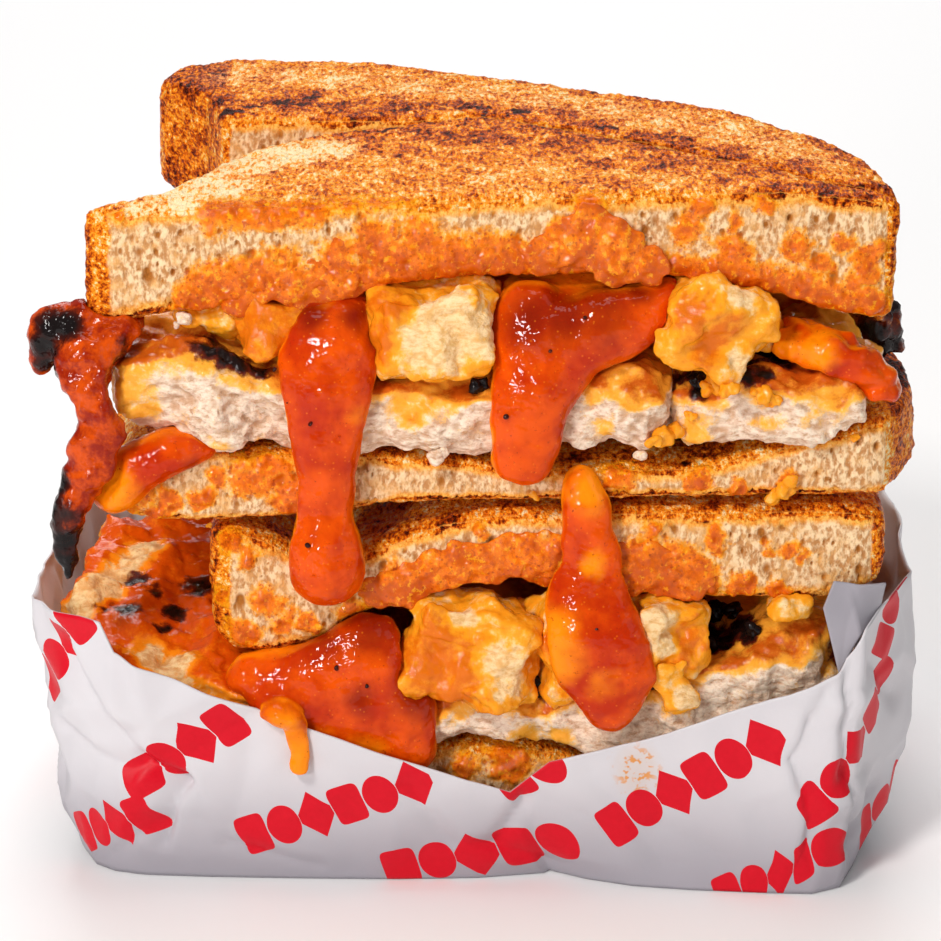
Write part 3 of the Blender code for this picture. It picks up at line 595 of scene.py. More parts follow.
def toast_slice(node, ends, stains, scorches, pale, crust=(3.2, 2.4), rims=(2.2, 2.0), chars=(),
                fine_top=False, paleness=1.0):
    """A slice, with its crumb opened up on the cut face and its colours' places painted on.

    ends: where the cut face begins and ends in x. crust: how much of it is crust at those ends. rims: how
    far the crumb is browned below its upper edge and above its lower one.
    """
    piece = fine_copy(node, 0.8, 6, 0.18)
    work_on(piece)
    bpy.ops.object.mode_set(mode="EDIT")
    bm = bmesh.from_edit_mesh(piece.data)
    for face in bm.faces:
        face.select = face.normal.y < -0.55 or (fine_top and face.normal.z > 0.7)
    bmesh.update_edit_mesh(piece.data)
    bpy.ops.mesh.subdivide(number_cuts=1)
    bpy.ops.mesh.select_all(action="DESELECT")
    bpy.ops.object.mode_set(mode="OBJECT")
    points, faces = points_of(piece)
    left, right = ends
    wander = noise_on(points, 5.0, 3.1)
    cut = between(-faces[:, 1], 0.45, 0.8)
    cut *= between(points[:, 0] + wander * 0.8, left + crust[0] * 0.6, left + crust[0] * 1.2)
    cut *= between(-points[:, 0] + wander * 0.8, -right + crust[1] * 0.6, -right + crust[1] * 1.2)
    below, above = rim_gaps(points, cut > 0.6)
    upper_rim = np.clip(1.0 - (below + wander * 0.9) / rims[0], 0, 1) * cut
    lower_rim = np.clip(1.0 - (above + wander * 0.9) / rims[1], 0, 1) * cut
    large = crumb_holes(points, (2.9, 3.4, 4.6), 2.0) * cut
    holes = crumb_holes(points, (1.5, 1.8, 2.9), 5.0) * cut
    small = crumb_holes(points, (0.8, 1.0, 1.4), 9.0) * cut
    ragged = frayed(points)
    soaked = near(ragged, stains)
    grit = noise_on(points, 1.3, 1.7)
    coarse = noise_on(points, 4.0, 6.1)
    filled = 1.0 - between(soaked + wander * 0.12, 0.25, 0.5) * 0.85
    sand = noise_on(points, (0.9, 1.4, 0.9), 7.3)
    depth = -(large * 1.0 + holes * 0.9 + small * 0.35) * filled + cut * grit * 0.12
    depth += (1.0 - cut) * (grit * 0.2 + sand * 0.3 + coarse * 0.3)
    depth += between(soaked, 0.15, 0.55) * cut * (0.45 + noise_on(points, 2.0, 4.4) * 0.85 + grit * 0.2)
    push(piece, depth)
    edges = 1.0 - between(points[:, 0], left + 0.3, left + 1.7)
    edges += between(points[:, 0], right - 1.5, right - 0.3)
    sides = between(np.abs(faces[:, 0]), 0.55, 0.85)
    paint(piece, "crumb", cut)
    # How deep the holes are, for the painted shade inside them.
    paint(piece, "hole_shade", np.maximum(np.maximum(holes, large), small * 0.7))
    paint(piece, "rim", np.maximum(upper_rim, lower_rim))
    paint(piece, "stain", soaked + np.clip(1.0 - above / 4.5, 0, 1) * between(soaked, 0.1, 0.4) * 0.35 * cut)
    broad = frayed(points, 3.0)
    paint(piece, "scorch", np.maximum(near(broad, scorches), np.maximum(lower_rim * 0.8, edges * 0.9)))
    paint(piece, "side", sides)
    paint(piece, "char", np.maximum(near(broad, chars), lower_rim * (0.35 + wander * 0.5)))
    paint(piece, "pale", near(broad, pale) * paleness)
    return piece


def toast_finish():
    tree, shader, material = finish_named("toast", 0.4)
    at = place_in_piece(tree)
    deeper = stretched(at, 1.0, 2.4, 1.0)
    fine = mottle(deeper, 0.75, 2.0, 0.7)
    patch = mottle(at, 4.5, 4.0, 0.65)
    # The griddled skin: gold through orange-brown to nearly black.
    scorch = fades(painted(tree, "scorch"), 0.0, 0.9)
    pale = fades(painted(tree, "pale"), 0.0, 0.8)
    char = fades(painted(tree, "char"), 0.1, 0.8)
    dark = plus(times(fine, 1.45), times(patch, 1.0))
    dark = minus(dark, 0.79)
    for value, share in [(scorch, 0.24), (char, 0.38), (painted(tree, "side"), -0.12), (pale, -0.28)]:
        dark = plus(dark, times(value, share))
    ramp = tree.nodes.new("ShaderNodeValToRGB")
    tree.links.new(dark, ramp.inputs[0])
    stops = [(0.14, (1.0, 0.78, 0.42)), (0.32, (1.0, 0.42, 0.035)), (0.47, (0.93, 0.24, 0.007)),
             (0.61, (0.58, 0.095, 0.004)), (0.76, (0.23, 0.024, 0.003)), (0.93, (0.03, 0.005, 0.002))]
    for place, colour in stops[:-2]:
        ramp.color_ramp.elements.new(place)
    for element, (place, colour) in zip(ramp.color_ramp.elements, stops):
        element.position = place
        element.color = (*colour, 1)
    hardly_toasted = times(times(pale, fades(fine, 0.62, 0.42)), 0.7)
    skin = mixed(hardly_toasted, ramp.outputs[0], (1.0, 0.78, 0.45))
    # The crumb: cream on its strands and darker between them, which is partly painted shade; painted shade
    # inside its holes; golden towards the griddled faces.
    drawn_out = stretched(at, 1.0, 1.0, 1.7)
    strands = fades(mottle(drawn_out, 0.9, 2.0, 0.6), 0.36, 0.62)
    crumb = mixed(strands, (0.54, 0.25, 0.09), (0.94, 0.68, 0.40))
    crumb = mixed(fades(patch, 0.45, 0.75), crumb, (0.80, 0.43, 0.15))
    hole_shade = fades(painted(tree, "hole_shade"), 0.02, 0.6)
    crumb = mixed(hole_shade, crumb, (0.40, 0.14, 0.025))
    off = swing(patch, 0.8)
    off = plus(off, swing(fine, 0.6))
    rim = plus(painted(tree, "rim"), off)
    toasted = mixed(fades(fine, 0.35, 0.65), (1.0, 0.52, 0.10), (0.80, 0.28, 0.03))
    crumb = mixed(fades(rim, 0.0, 0.6), crumb, toasted)
    crumb = mixed(fades(rim, 0.55, 1.05), crumb, (0.50, 0.12, 0.010))
    ragged = minus(painted(tree, "crumb"), fades(rim, 0.55, 0.95))
    inner = fades(plus(ragged, off), 0.3, 0.75)
    bread = mixed(inner, skin, crumb)
    # What has soaked in: yellow where it is thin, orange and then red-brown where it is thick.
    soak = plus(painted(tree, "stain"), off)
    thin = times(fades(soak, 0.02, 0.42), fades(painted(tree, "stain"), 0.0, 0.12))
    stained = mixed(fades(soak, 0.20, 0.58), (1.0, 0.43, 0.008), (0.86, 0.185, 0.002))
    stained = mixed(fades(soak, 0.56, 1.0), stained, (0.58, 0.078, 0.002))
    grains = mottle(at, 1.3, 3.0, 0.7)
    stained = mixed(fades(grains, 0.51, 0.67), stained, (0.54, 0.080, 0.002))
    stained = mixed(times(fades(grains, 0.46, 0.34), 0.6), stained, (1.0, 0.50, 0.012))
    # The holes and the strands of the crumb still show through it, as painted shade in the holes and between
    # the strands.
    stained = mixed(times(hole_shade, 0.7), stained, (0.42, 0.05, 0.002))
    shade_between_strands = minus(0.36, times(strands, 0.36))
    stained = mixed(shade_between_strands, stained, (0.72, 0.13, 0.002))
    flecks = fades(cells(at, 1.3), 0.22, 0.12)
    stained = mixed(times(flecks, 0.6), stained, (0.34, 0.03, 0.002))
    bread = mixed(times(thin, 0.96), bread, stained)
    feed(shader, "Base Color", bread)
    # Dry bread is dull, and what has soaked in is wet and shines.
    oily = fades(painted(tree, "stain"), 0.1, 0.45)
    oily = times(oily, fades(painted(tree, "crumb"), 0.6, 1.0))
    dry = minus(1.0, oily)
    dull = times(plus(times(inner, 0.35), 0.22), dry)
    feed(shader, "Roughness", plus(dull, 0.07))
    feed(shader, "Specular IOR Level", plus(times(oily, 0.11), 0.04))
    grain = plus(mottle(deeper, 0.7, 3.0, 0.8), times(strands, 0.6))
    swells = times(mottle(at, 2.2, 1.0), oily)
    relief = plus(times(grain, sums("MAXIMUM", dry, 0.12)), swells)
    roughened(shader, relief, 0.42, minus(1.0, times(inner, 0.45)))
    let_light_in(shader, 0.08, 1.0, (1.0, 0.6, 0.35))
    return material


toast = toast_finish()

FRONT_STAINS = [
    (-43.4, 120.6, 2.4), (-40, 121.8, 2.7), (-36.7, 122.3, 2.7), (-33.4, 121.3, 2.3), (-29.2, 121.8, 2.4),
    (-25.9, 122.4, 2.2), (-21.7, 123.8, 2), (-17.6, 124.4, 2.1), (-13.4, 124.6, 2), (-47.1, 105.8, 2.4),
    (-43.7, 108.4, 3.1), (-39.4, 110.2, 2.8), (-35.2, 110.9, 2.8), (-31.1, 108.8, 3.2),
    (-26.1, 108.6, 3.1), (-21, 111.6, 3.8), (-16.8, 114.9, 4.1), (-12.7, 112.4, 4.1), (-8.5, 115.7, 3.4),
    (-4.3, 112.8, 3.7), (0.7, 112.3, 3.7), (5.7, 112.4, 3.4), (-7.7, 108.4, 4.1), (-19.4, 107.5, 3.7),
    (-29.5, 105.8, 3.1), (-37.8, 105.8, 2.7), (-1, 108.4, 3.4), (11.6, 111, 3.4), (16.6, 112.4, 3.7),
    (20.7, 117.1, 2.6), (19, 121.5, 2), (24.9, 112.4, 3.7), (29.1, 111.4, 2.4), (14, 118, 1.7),
    (35.7, 118, 2), (42.4, 114.5, 2.4), (54.1, 114.9, 2), (43.1, 119.4, 1.4), (48.9, 122.3, 1.4),
    (37.2, 122.3, 1.5), (57.5, 112.4, 1.7), (62.6, 108.4, 2), (65.9, 111, 1.7), (-59.2, 120.6, 1.2),
    (34, 110.8, 2.6), (39, 110, 2.7), (44, 109.4, 3), (49, 108.4, 3), (54, 107.4, 3), (59, 106.2, 2.7),
    (63, 105.4, 2.4), (67, 105, 2.4), (66, 114, 1.8), (61, 115.5, 1.4)
]
FRONT_SCORCHES = [
    (-58, -38, 1.5), (-43, -15, 2), (-38, -8, 2), (-30, -3, 3), (-21, 0, 4), (-20, -7, 4), (-11, 3, 5),
    (-8, -6, 5), (1, 5, 6), (3, -8, 6), (12, -2, 6), (14, -14, 4), (22, -9, 6), (32, -15, 6),
    (30, -24, 4), (41, -22, 5), (44, -31, 4), (51, -28, 5), (58, -36, 5), (64, -42, 4), (-12, -15, 3),
    (20, -24, 3), (52, -38, 4)
]
FRONT_PALE = [
    (-57, -42, 3), (-51, -36, 4), (-45, -28, 5), (-40, -20, 5), (-33, -15, 5), (-26, -12, 4),
    (-50, -42, 4), (-42, -36, 4)
]
front_slice = toast_slice(
    "upper_front_slice", (-65.3, 70.3), on_cut(FRONT_STAINS), on_top(FRONT_SCORCHES),
    on_top(FRONT_PALE, 123), (4.4, 2.2), (2.6, 3.2),
    on_top([(-16, 0, 1.8), (-20, -2, 1.4), (-8, 2, 1.5), (12, 1, 1.8), (32, -14, 1.6)]), True
)
finished(front_slice, toast, "toast", "upper_front_slice")

REAR_SCORCHES = [
    (-48, 27, 4), (-45, 20, 3), (-44, 13, 3), (-38, 18, 3), (-33, 16, 4), (-30, 22, 3), (-24, 14, 4),
    (-17, 9, 4), (-14, 15, 4), (-8, 13, 4), (1, 13, 4), (8, 10, 4), (15, 6, 4), (22, 1, 4), (30, -6, 4),
    (37, -11, 4), (45, -17, 4), (54, -24, 4), (62, -32, 4), (-58, 46, 3), (-52, 51, 3), (-44, 53, 2.5),
    (-36, 53, 2.5), (-25, 51, 2.5), (-15, 48, 3), (-4, 43, 3), (4, 38, 3), (11, 34, 3), (20, 28, 3),
    (30, 23, 3), (37, 18, 3), (43, 14, 3), (50, 9, 3), (56, 4, 3), (61, -3, 3), (64, -10, 3),
    (67, -18, 3), (70, -30, 3)
]
REAR_PALE = [
    (-44, 38, 5), (-34, 36, 5), (-24, 32, 5), (-12, 27, 5), (0, 24, 5), (12, 18, 5), (24, 12, 5),
    (34, 5, 5), (44, -2, 5), (52, -9, 5), (58, -18, 4)
]
REAR_CHARS = [
    (-43, 13, 2), (-38, 16, 1.6), (-34, 18, 2), (-30, 20, 1.6), (-24, 17, 1.2), (-14, 12, 1.4),
    (0, 13, 1.4), (8, 10, 1.6), (24, 0, 1.6), (-36, 54, 1.4), (-4, 44, 1.4), (11, 35, 1.6), (30, 24, 1.6),
    (43, 15, 1.6), (54, 7, 1.4), (66, -12, 1.4)
]
rear_slice = toast_slice(
    "upper_rear_slice", (-46.5, 71.0), [], on_top(REAR_SCORCHES), on_top(REAR_PALE),
    chars=on_top(REAR_CHARS), fine_top=True, paleness=0.35
)
finished(rear_slice, toast, "toast", "upper_rear_slice")

UPPER_BOTTOM_STAINS = [
    (-60.6, 73.7, 4.4), (-52.1, 70, 1.4), (-47, 70, 1.7), (-44.4, 74, 1.4), (-38.4, 73.7, 2.7),
    (-35, 75.5, 2.4), (-32.5, 71.8, 2.4), (-30, 69.1, 2), (-54.8, 67.3, 1.4), (24.5, 74.6, 2.2),
    (38.2, 74, 1.7), (44.2, 71.8, 1.2), (51.9, 70, 1.2), (50.2, 68.6, 1), (53.5, 73.7, 1.2),
    (27.9, 76.9, 1.2)
]
UPPER_BOTTOM_SCORCHES = [
    (-40, -40, 5), (-30, -38, 5), (-16, -36, 6), (-4, -36, 6), (8, -36, 5), (18, -36, 5), (28, -36, 5),
    (40, -34, 6), (52, -32, 6), (62, -30, 6), (69, -26, 5)
]
upper_bottom = toast_slice(
    "upper_bottom_slice", (-64.0, 71.5), on_cut(UPPER_BOTTOM_STAINS),
    on_top(UPPER_BOTTOM_SCORCHES, 77, 0.6), [], (1.0, 1.0), (2.0, 1.6),
    [(75, -18, 85, 4), (75, -12, 82, 4), (73, -20, 88, 3)] + [(x, -38, 77.5, 1.0) for x in (-6, 18, 36, 54)]
)
finished(upper_bottom, toast, "toast", "upper_bottom_slice")

LOWER_TOP_STAINS = [
    (-39.6, 59, 1.6), (-36.3, 51.7, 2), (-39.8, 46.1, 2), (-32.9, 48, 1.7), (-28.6, 47, 1.5),
    (-44.9, 51.7, 1.4), (-42.1, 61.8, 1.7), (-13, 55.4, 2.4), (-7.9, 53.5, 2.7), (-2.7, 56.3, 3.1),
    (2.5, 54.4, 3.1), (7.6, 57.2, 3.1), (12.8, 55.4, 3.4), (21.3, 57.2, 3.4), (28.2, 59, 3),
    (33.3, 59, 2.7), (38.5, 57.2, 2.5), (41.8, 62.7, 1.5), (38.6, 53.5, 2.4), (-1, 51.7, 2.4),
    (-9.6, 50.7, 2), (7.6, 51.7, 2.4), (14.5, 51.7, 2.4), (24.8, 53.5, 2.7), (0.7, 64.5, 1),
    (29.8, 64.5, 1.2), (53.8, 61.3, 1.1), (56.4, 60, 0.8), (50.4, 61.3, 0.9), (45.4, 54.4, 1.8),
    (52.3, 53.5, 1.3), (-21.7, 49.8, 1.8), (-16.5, 51.7, 2)
]
LOWER_TOP_SCORCHES = [
    (-40, -42, 4), (-32, -40, 5), (-24, -40, 5), (-14, -38, 5), (-4, -38, 4), (6, -38, 4), (28, -38, 4),
    (40, -38, 4), (52, -40, 4), (64, -40, 4), (-44, -38, 4)
]
lower_top = toast_slice(
    "lower_top_slice", (-45.3, 70.1), on_cut(LOWER_TOP_STAINS),
    on_top(LOWER_TOP_SCORCHES, 66, 0.6) + on_cut([(-36, 42, 3), (-30, 44, 3), (-24, 47, 3)]), [],
    (3.6, 2.6), (2.5, 2.6)
)
finished(lower_top, toast, "toast", "lower_top_slice")

lower_bottom = toast_slice(
    "lower_bottom_slice", (-59.5, 59.5), on_cut([(6, 21, 3), (-2, 20, 2)]), [], [], (2.0, 2.0)
)
# It stands clear of the creases at the paper's foot.
place_points(lower_bottom, points_of(lower_bottom)[0] * (0.98, 0.98, 1.0))
finished(lower_bottom, toast, "toast", "lower_bottom_slice")

# ---- The chicken ----
# Grilled breast, torn and stacked: white and stringy where it was cut, golden to red-brown where it was
# seared and glazed, with black spots from the grill.


def meat(node, voxel, coat, sear, bare=(), all_over=0.0, knobbly=0.5, shaded=0.42):
    """A piece of chicken with torn fibres.

    coat, sear and bare: the spots with glaze, with char and with neither. all_over: the glaze in between.
    """
    piece = fine_copy(node, voxel, 3, 0.22)
    points, faces = points_of(piece)
    turned = points @ np.array([[0.92, 0, 0.39], [0, 1, 0], [-0.39, 0, 0.92]], np.float32)
    threads = noise_on(turned, (2.8, 2.0, 1.1), 2.3)
    lumps = noise_on(points, 2.3, 8.8)
    grains = noise_on(points, 1.15, 3.9)
    tears = np.clip(1.0 - np.abs(noise_on(turned, (5.5, 3.5, 2.6), 5.5)) * 4.5, 0, 1)
    front = between(-faces[:, 1], 0.3, 0.75)
    push(piece, threads * 0.45 + lumps * knobbly + grains * 0.3 - tears * 0.6 * front)
    ragged = frayed(points, 1.4)
    glazed = between(faces[:, 2], 0.15, 0.7) * 0.6 + np.minimum(near(ragged, coat), 0.66) * 0.75 + all_over
    glazed -= near(ragged, bare) * 2.2
    paint(piece, "glaze", glazed)
    paint(piece, "sear", near(ragged, sear))
    # Painted shade: deep is high in the torn grooves and where the threads and grains sink in, plus an even
    # share given by shaded.
    paint(piece, "deep", shaded - threads * 0.5 - grains * 0.6 + tears * 0.35)
    return piece


def chicken_finish(name, cut_light, cut_dark, gold, brown):
    tree, shader, material = finish_named(name, 0.4)
    at = place_in_piece(tree)
    threads = mottle(stretched(at, 1.8, 1.3, 0.9), 1.0, 3.0, 0.7)
    patch = mottle(at, 3.4, 4.0, 0.65)
    fine = mottle(at, 0.8, 2.0, 0.7)
    flesh = mixed(fades(threads, 0.25, 0.62), cut_dark, cut_light)
    # Painted shade: the flesh goes to its dark colour where deep is painted, in the grooves and hollows.
    flesh = mixed(times(fades(painted(tree, "deep"), 0.35, 1.0), 0.8), flesh, cut_dark)
    spread = plus(swing(patch, 0.9),
                  swing(fine, 0.45))
    layer = plus(painted(tree, "glaze"), spread)
    light_gold = (1.0, min(1.0, gold[1] * 1.35), gold[2] * 2.6)
    coat = mixed(fades(layer, 0.2, 0.55), light_gold, gold)
    coat = mixed(fades(layer, 0.55, 1.0), coat, brown)
    thin = fades(layer, 0.06, 0.42)
    flesh = mixed(thin, flesh, coat)
    burnt = plus(painted(tree, "sear"), times(spread, 0.7))
    flesh = mixed(fades(burnt, 0.22, 0.5), flesh, (0.13, 0.014, 0.004))
    flesh = mixed(fades(burnt, 0.42, 0.7), flesh, (0.012, 0.005, 0.004))
    feed(shader, "Base Color", flesh)
    feed(shader, "Roughness", minus(0.5, times(thin, 0.38)))
    roughened(shader, plus(threads, fine), 0.35, minus(0.8, times(thin, 0.5)))
    feed(shader, "Specular IOR Level", plus(times(thin, 0.14), 0.08))
    let_light_in(shader, 0.1, 1.2, (1.0, 0.5, 0.3))
    return material


chicken = chicken_finish("chicken", (0.94, 0.77, 0.60), (0.56, 0.31, 0.17),
                         (0.95, 0.40, 0.035), (0.58, 0.105, 0.006))
dark_chicken = chicken_finish("dark_chicken", (1.0, 0.72, 0.36), (0.74, 0.34, 0.09),
                              (0.97, 0.27, 0.008), (0.72, 0.090, 0.002))

upper_left = meat(
    "upper_left_chicken", 0.6,
    on_cut([(-56, 97.5, 3.4), (-51, 98.5, 2), (-46, 98, 2), (-54.9, 86.5, 1.6), (-32, 95, 2),
            (-43, 82, 1.5), (-36, 80, 1.2)], -43)
    + on_cut([(-26, 90, 2), (-17, 92, 2.5), (-12, 89, 2.2), (-11, 86, 1.6), (-2, 92, 2.5), (6, 92, 2),
              (20, 91, 2), (28, 91, 2.4), (22, 84, 1.3)], -44)
    + [(-60.5, -42, 93, 4.5), (-58, -42, 90, 3.5), (-60.5, -42, 88.5, 3), (-56.6, -39, 96, 4),
       (-52, -41, 98, 4), (-48, -40, 98.5, 4)],
    [(-45.4, -43, 97.6, 2), (-42, -43, 96.6, 2.2), (-39.6, -42.8, 95.4, 2), (-36, -42, 94.4, 1.6),
     (-44, -38, 98.2, 2.4), (-39, -38, 97, 2.4)]
)
# Its left end reaches out below the strip.
points = points_of(upper_left)[0]
points[:, 0] -= np.maximum(-52.0 - points[:, 0], 0.0) * 0.18
place_points(upper_left, points)
finished(upper_left, chicken, "chicken", "upper_left_chicken")

upper_right = meat(
    "upper_right_chicken", 0.6,
    on_cut([(34, 90, 2.2), (40, 89, 1.8), (47, 91, 2.2), (52, 94, 3), (58, 95, 3), (64, 95, 3),
            (68, 93, 3), (31, 81, 1.5), (36, 82, 2.4), (56, 86, 1.6), (61, 88, 1.6)], -43)
    + [(55, -38, 94, 4), (62, -37, 95, 4)],
    [(37, -37, 91.4, 2.6), (41, -38, 91, 2.2), (48.5, -28, 92.3, 3), (51.5, -34, 92.7, 2.6),
     (46, -36, 92, 2.6), (66, -34, 97, 2), (45.4, -41.7, 92.6, 1.8), (48, -40.9, 92.8, 1.5),
     (37.5, -40.7, 89.6, 1.6), (36.5, -35.7, 90.5, 2.4)]
)
finished(upper_right, chicken, "chicken", "upper_right_chicken")

WIDELY_SPACED = [(x, y) for x in (-50, -34, -17, 0, 19, 36, 54, 72) for y in (-6, 14, 36)]
upper_rear = meat(
    "upper_rear_chicken", 0.9, [(x, y, 92 + 7 * math.sin(x), 8) for x, y in WIDELY_SPACED],
    [(72, -14, 96, 4), (68, -14, 99, 4), (74, -8, 92, 3), (69, -16, 92, 4), (72, -15, 89, 4),
     (-50, 15, 98, 5)],
    all_over=0.22, knobbly=1.3
)
finished(upper_rear, dark_chicken, "chicken", "upper_rear_chicken")

lower_front = meat(
    "lower_front_chicken", 0.6,
    on_cut([(-8, 34, 2.5), (-2, 33, 2), (5, 33.5, 2), (12, 34, 2.4), (20, 34, 2), (30, 36, 2),
            (37, 39, 2.4), (9, 27, 2.2), (15, 26, 2), (33, 33, 1.6)], -43)
    + [(44, -42, 41.5, 2.4), (50, -42, 43.5, 2.6), (56, -42, 45, 2.6), (61, -41, 45, 3), (63, -40, 40, 2.4)],
    [(12, -40, 36, 2.5), (8, -40, 36, 2), (30, -38, 40, 3), (38, -30, 40, 3), (41.3, -28.2, 39.7, 3),
     (43.8, -31.7, 40.2, 2.6), (42.7, -34.9, 39.7, 2.2), (46.8, -32, 42.8, 2.6), (48.6, -35.6, 42.6, 1.6),
     (52.4, -32, 44.6, 1.8), (61.7, -36, 42.4, 1.6), (64.4, -37.1, 39.6, 2)],
    shaded=0.0
)
finished(lower_front, chicken, "chicken", "lower_front_chicken")

lower_left = meat(
    "lower_left_chicken", 0.6,
    [(-56, -14, 47, 5), (-50, -20, 45, 5), (-60, -26, 44, 4)],
    [(-60, -16.5, 46, 1.8), (-61.5, -27, 44, 2), (-57.7, -20, 44.6, 1.6), (-49, -17, 44.5, 2.6),
     (-53, -25.5, 43, 1.8), (-66, -28, 44.2, 1.2), (-55, -31, 42.5, 1.2)],
    [(-70, -28.5, 45.2, 2.4), (-68, -25, 46, 2.4), (-66, -21.5, 46.4, 2.6), (-63.5, -16, 46.4, 2.6),
     (-61, -12, 47.2, 2.6), (-59, -8, 47.8, 2.4), (-56, -38.5, 40, 2.4), (-52, -40, 38.5, 2.6)],
    0.35
)
finished(lower_left, dark_chicken, "chicken", "lower_left_chicken")

LARGE_SPOTS = [(x, y, z, 14) for x in (-48, -24, 0, 24, 48, 64) for y in (-6, 24) for z in (28, 46)]
lower_rear = meat("lower_rear_chicken", 0.9, LARGE_SPOTS, [], all_over=0.4)
finished(lower_rear, dark_chicken, "chicken", "lower_rear_chicken")

# The cubes: smaller pieces of the same chicken, tossed in the cheesy sauce.
glazed_cube = chicken_finish("glazed_cube", (0.97, 0.70, 0.38), (0.74, 0.40, 0.12),
                             (0.93, 0.34, 0.012), (0.74, 0.16, 0.004))


def cube(node, coat, bare):
    piece = fine_copy(node, 0.45, 3, 0.22)
    points = points_of(piece)[0]
    folds = np.abs(noise_on(points, (4.2, 3.2, 2.8), 3.3))
    lumps = noise_on(points, 1.7, 7.7)
    grains = noise_on(points, 0.9, 4.1)
    push(piece, lumps * 0.3 + grains * 0.16 - (0.3 - folds) * 0.6)
    ragged = frayed(points, 1.2)
    glazed = 0.42 + lumps * 0.25 - grains * 0.12
    paint(piece, "glaze", glazed + near(ragged, coat) * 0.8 - near(ragged, bare) * 1.1)
    # Painted shade: deep is high in the folds, where the surface is pushed in, and where the grains sink in.
    paint(piece, "deep", between(folds, 0.12, 0.0) * 0.5 + 0.4 - grains * 0.5)
    return piece


for node, coat, bare in [
    ("upper_sliver", [], []),
    ("upper_left_chunk", [(-36, -42, 101, 5)], []),
    ("upper_middle_chunk", [(-15, -47, 107, 4), (1, -47, 97, 3), (-16, -46, 100, 3)],
     [(-5, -48, 104, 4), (-1, -48, 100, 4), (-8, -48, 101, 3.5)]),
    ("upper_right_chunk", [(36, -47, 105, 3), (40, -47, 100, 4)], [(45, -47, 109, 1.8), (43, -47, 97, 2.2)]),
    ("upper_right_flake", [], []),
    ("lower_middle_chunk", [(-6, -47, 48, 3), (-5, -47, 38, 5), (-8, -47, 43, 5), (-2, -48, 42, 4)],
     [(4, -48, 43, 2.8), (6, -48, 40, 2.4), (-3, -46, 50, 1.6)]),
    ("lower_covered_chunk", [(14, -46, 46, 4)], [(12, -46, 50, 1.6)]),
    ("lower_right_chunk", [(37, -46, 45, 3)], [(31, -47, 49, 2.6), (33, -47, 46, 2.0)]),
    ("lower_small_chunk", [], [(36, -48, 36, 1.6)]),
    ("lower_right_nugget", [], [(55, -46, 52, 2)]),
]:
    finished(cube(node, coat, bare), glazed_cube, "chicken", node)

# ---- The sauce ----
# A thick orange-red pepper sauce that runs down over the layers in broad tongues, smooth and very
# glossy, with fine ground specks and a few black peppercorn bits in it.


def poured_sauce(node, thin_spots, thick_and_shaded_spots=(), lumps=0.0):
    piece = fine_copy(node, 0.5, 22, 0.6)
    points, faces = points_of(piece)
    if node == "lower_sauce":
        # The pool reaches up to the bread, more so at its right.
        pool_left, pool_top = -34.0, 36.0
        to_the_right = np.clip((points[:, 0] - pool_left) / 20.0, 0, 1)
        rise = np.clip((points[:, 2] - pool_top) / 10.0, 0, 1) * (1.6 + 4.6 * to_the_right)
        points[:, 2] += rise
        points[:, 1] += np.maximum(rise - 2.0, 0.0) * 0.6
        # The drip over the rim is thin at its neck.
        outside = between(points[:, 1], -47.6, -49.0) * between(points[:, 2], 34.0, 31.0)
        neck = between(points[:, 2], 21.0, 26.0)
        drip_x, drip_y = -30.0, -48.6
        points[:, 0] += (drip_x - points[:, 0]) * outside * (0.15 + 0.3 * neck)
        points[:, 1] += (drip_y - points[:, 1]) * outside * (0.2 + 0.3 * neck)
        place_points(piece, points)
    push(piece, noise_on(points, 2.6, 8.2) * lumps)
    points, faces = points_of(piece)
    push(piece, noise_on(points, 6.0, 2.2) * 0.5 + noise_on(points, 2.6, 6.2) * 0.16)
    edge = between(faces[:, 1], -0.62, -0.12) * 0.55
    paint(piece, "thin", near(frayed(points, 1.0), thin_spots) + edge)
    # Where the sauce lies thick under the bread: darker from its depth, and painted shade from the bread
    # above.
    paint(piece, "thick", near(frayed(points, 1.0), thick_and_shaded_spots))
    return piece


def sauce_finish(name, deep, bright, thin_colour):
    tree, shader, material = finish_named(name, 0.055)
    at = place_in_piece(tree)
    cloud = mottle(at, 9.0, 3.0)
    fine = mottle(at, 0.8, 3.0, 0.8)
    colour = mixed(fades(cloud, 0.32, 0.66), deep, bright)
    thin = plus(painted(tree, "thin"), swing(cloud, 0.6))
    colour = mixed(fades(thin, 0.1, 0.8), colour, thin_colour)
    # Deep dark red where it lies thick under the bread: partly its depth, partly painted shade from the
    # bread above.
    colour = mixed(fades(painted(tree, "thick"), 0.1, 0.9), colour, (0.26, 0.012, 0.0008))
    speck = fades(cells(at, 1.2), 0.2, 0.08)
    colour = mixed(times(speck, 0.35), colour, (0.90, 0.24, 0.012))
    colour = mixed(fades(fine, 0.60, 0.76), colour, (0.34, 0.018, 0.001))
    feed(shader, "Base Color", colour)
    swells = mottle(at, 3.4, 2.0, 0.5)
    ripples = times(mottle(at, 1.3, 1.0), 0.3)
    roughened(shader, plus(swells, ripples), 0.7, 0.7)
    feed(shader, "Specular IOR Level", 0.18)
    let_light_in(shader, 0.08, 1.2, (1.0, 0.2, 0.05))
    return material


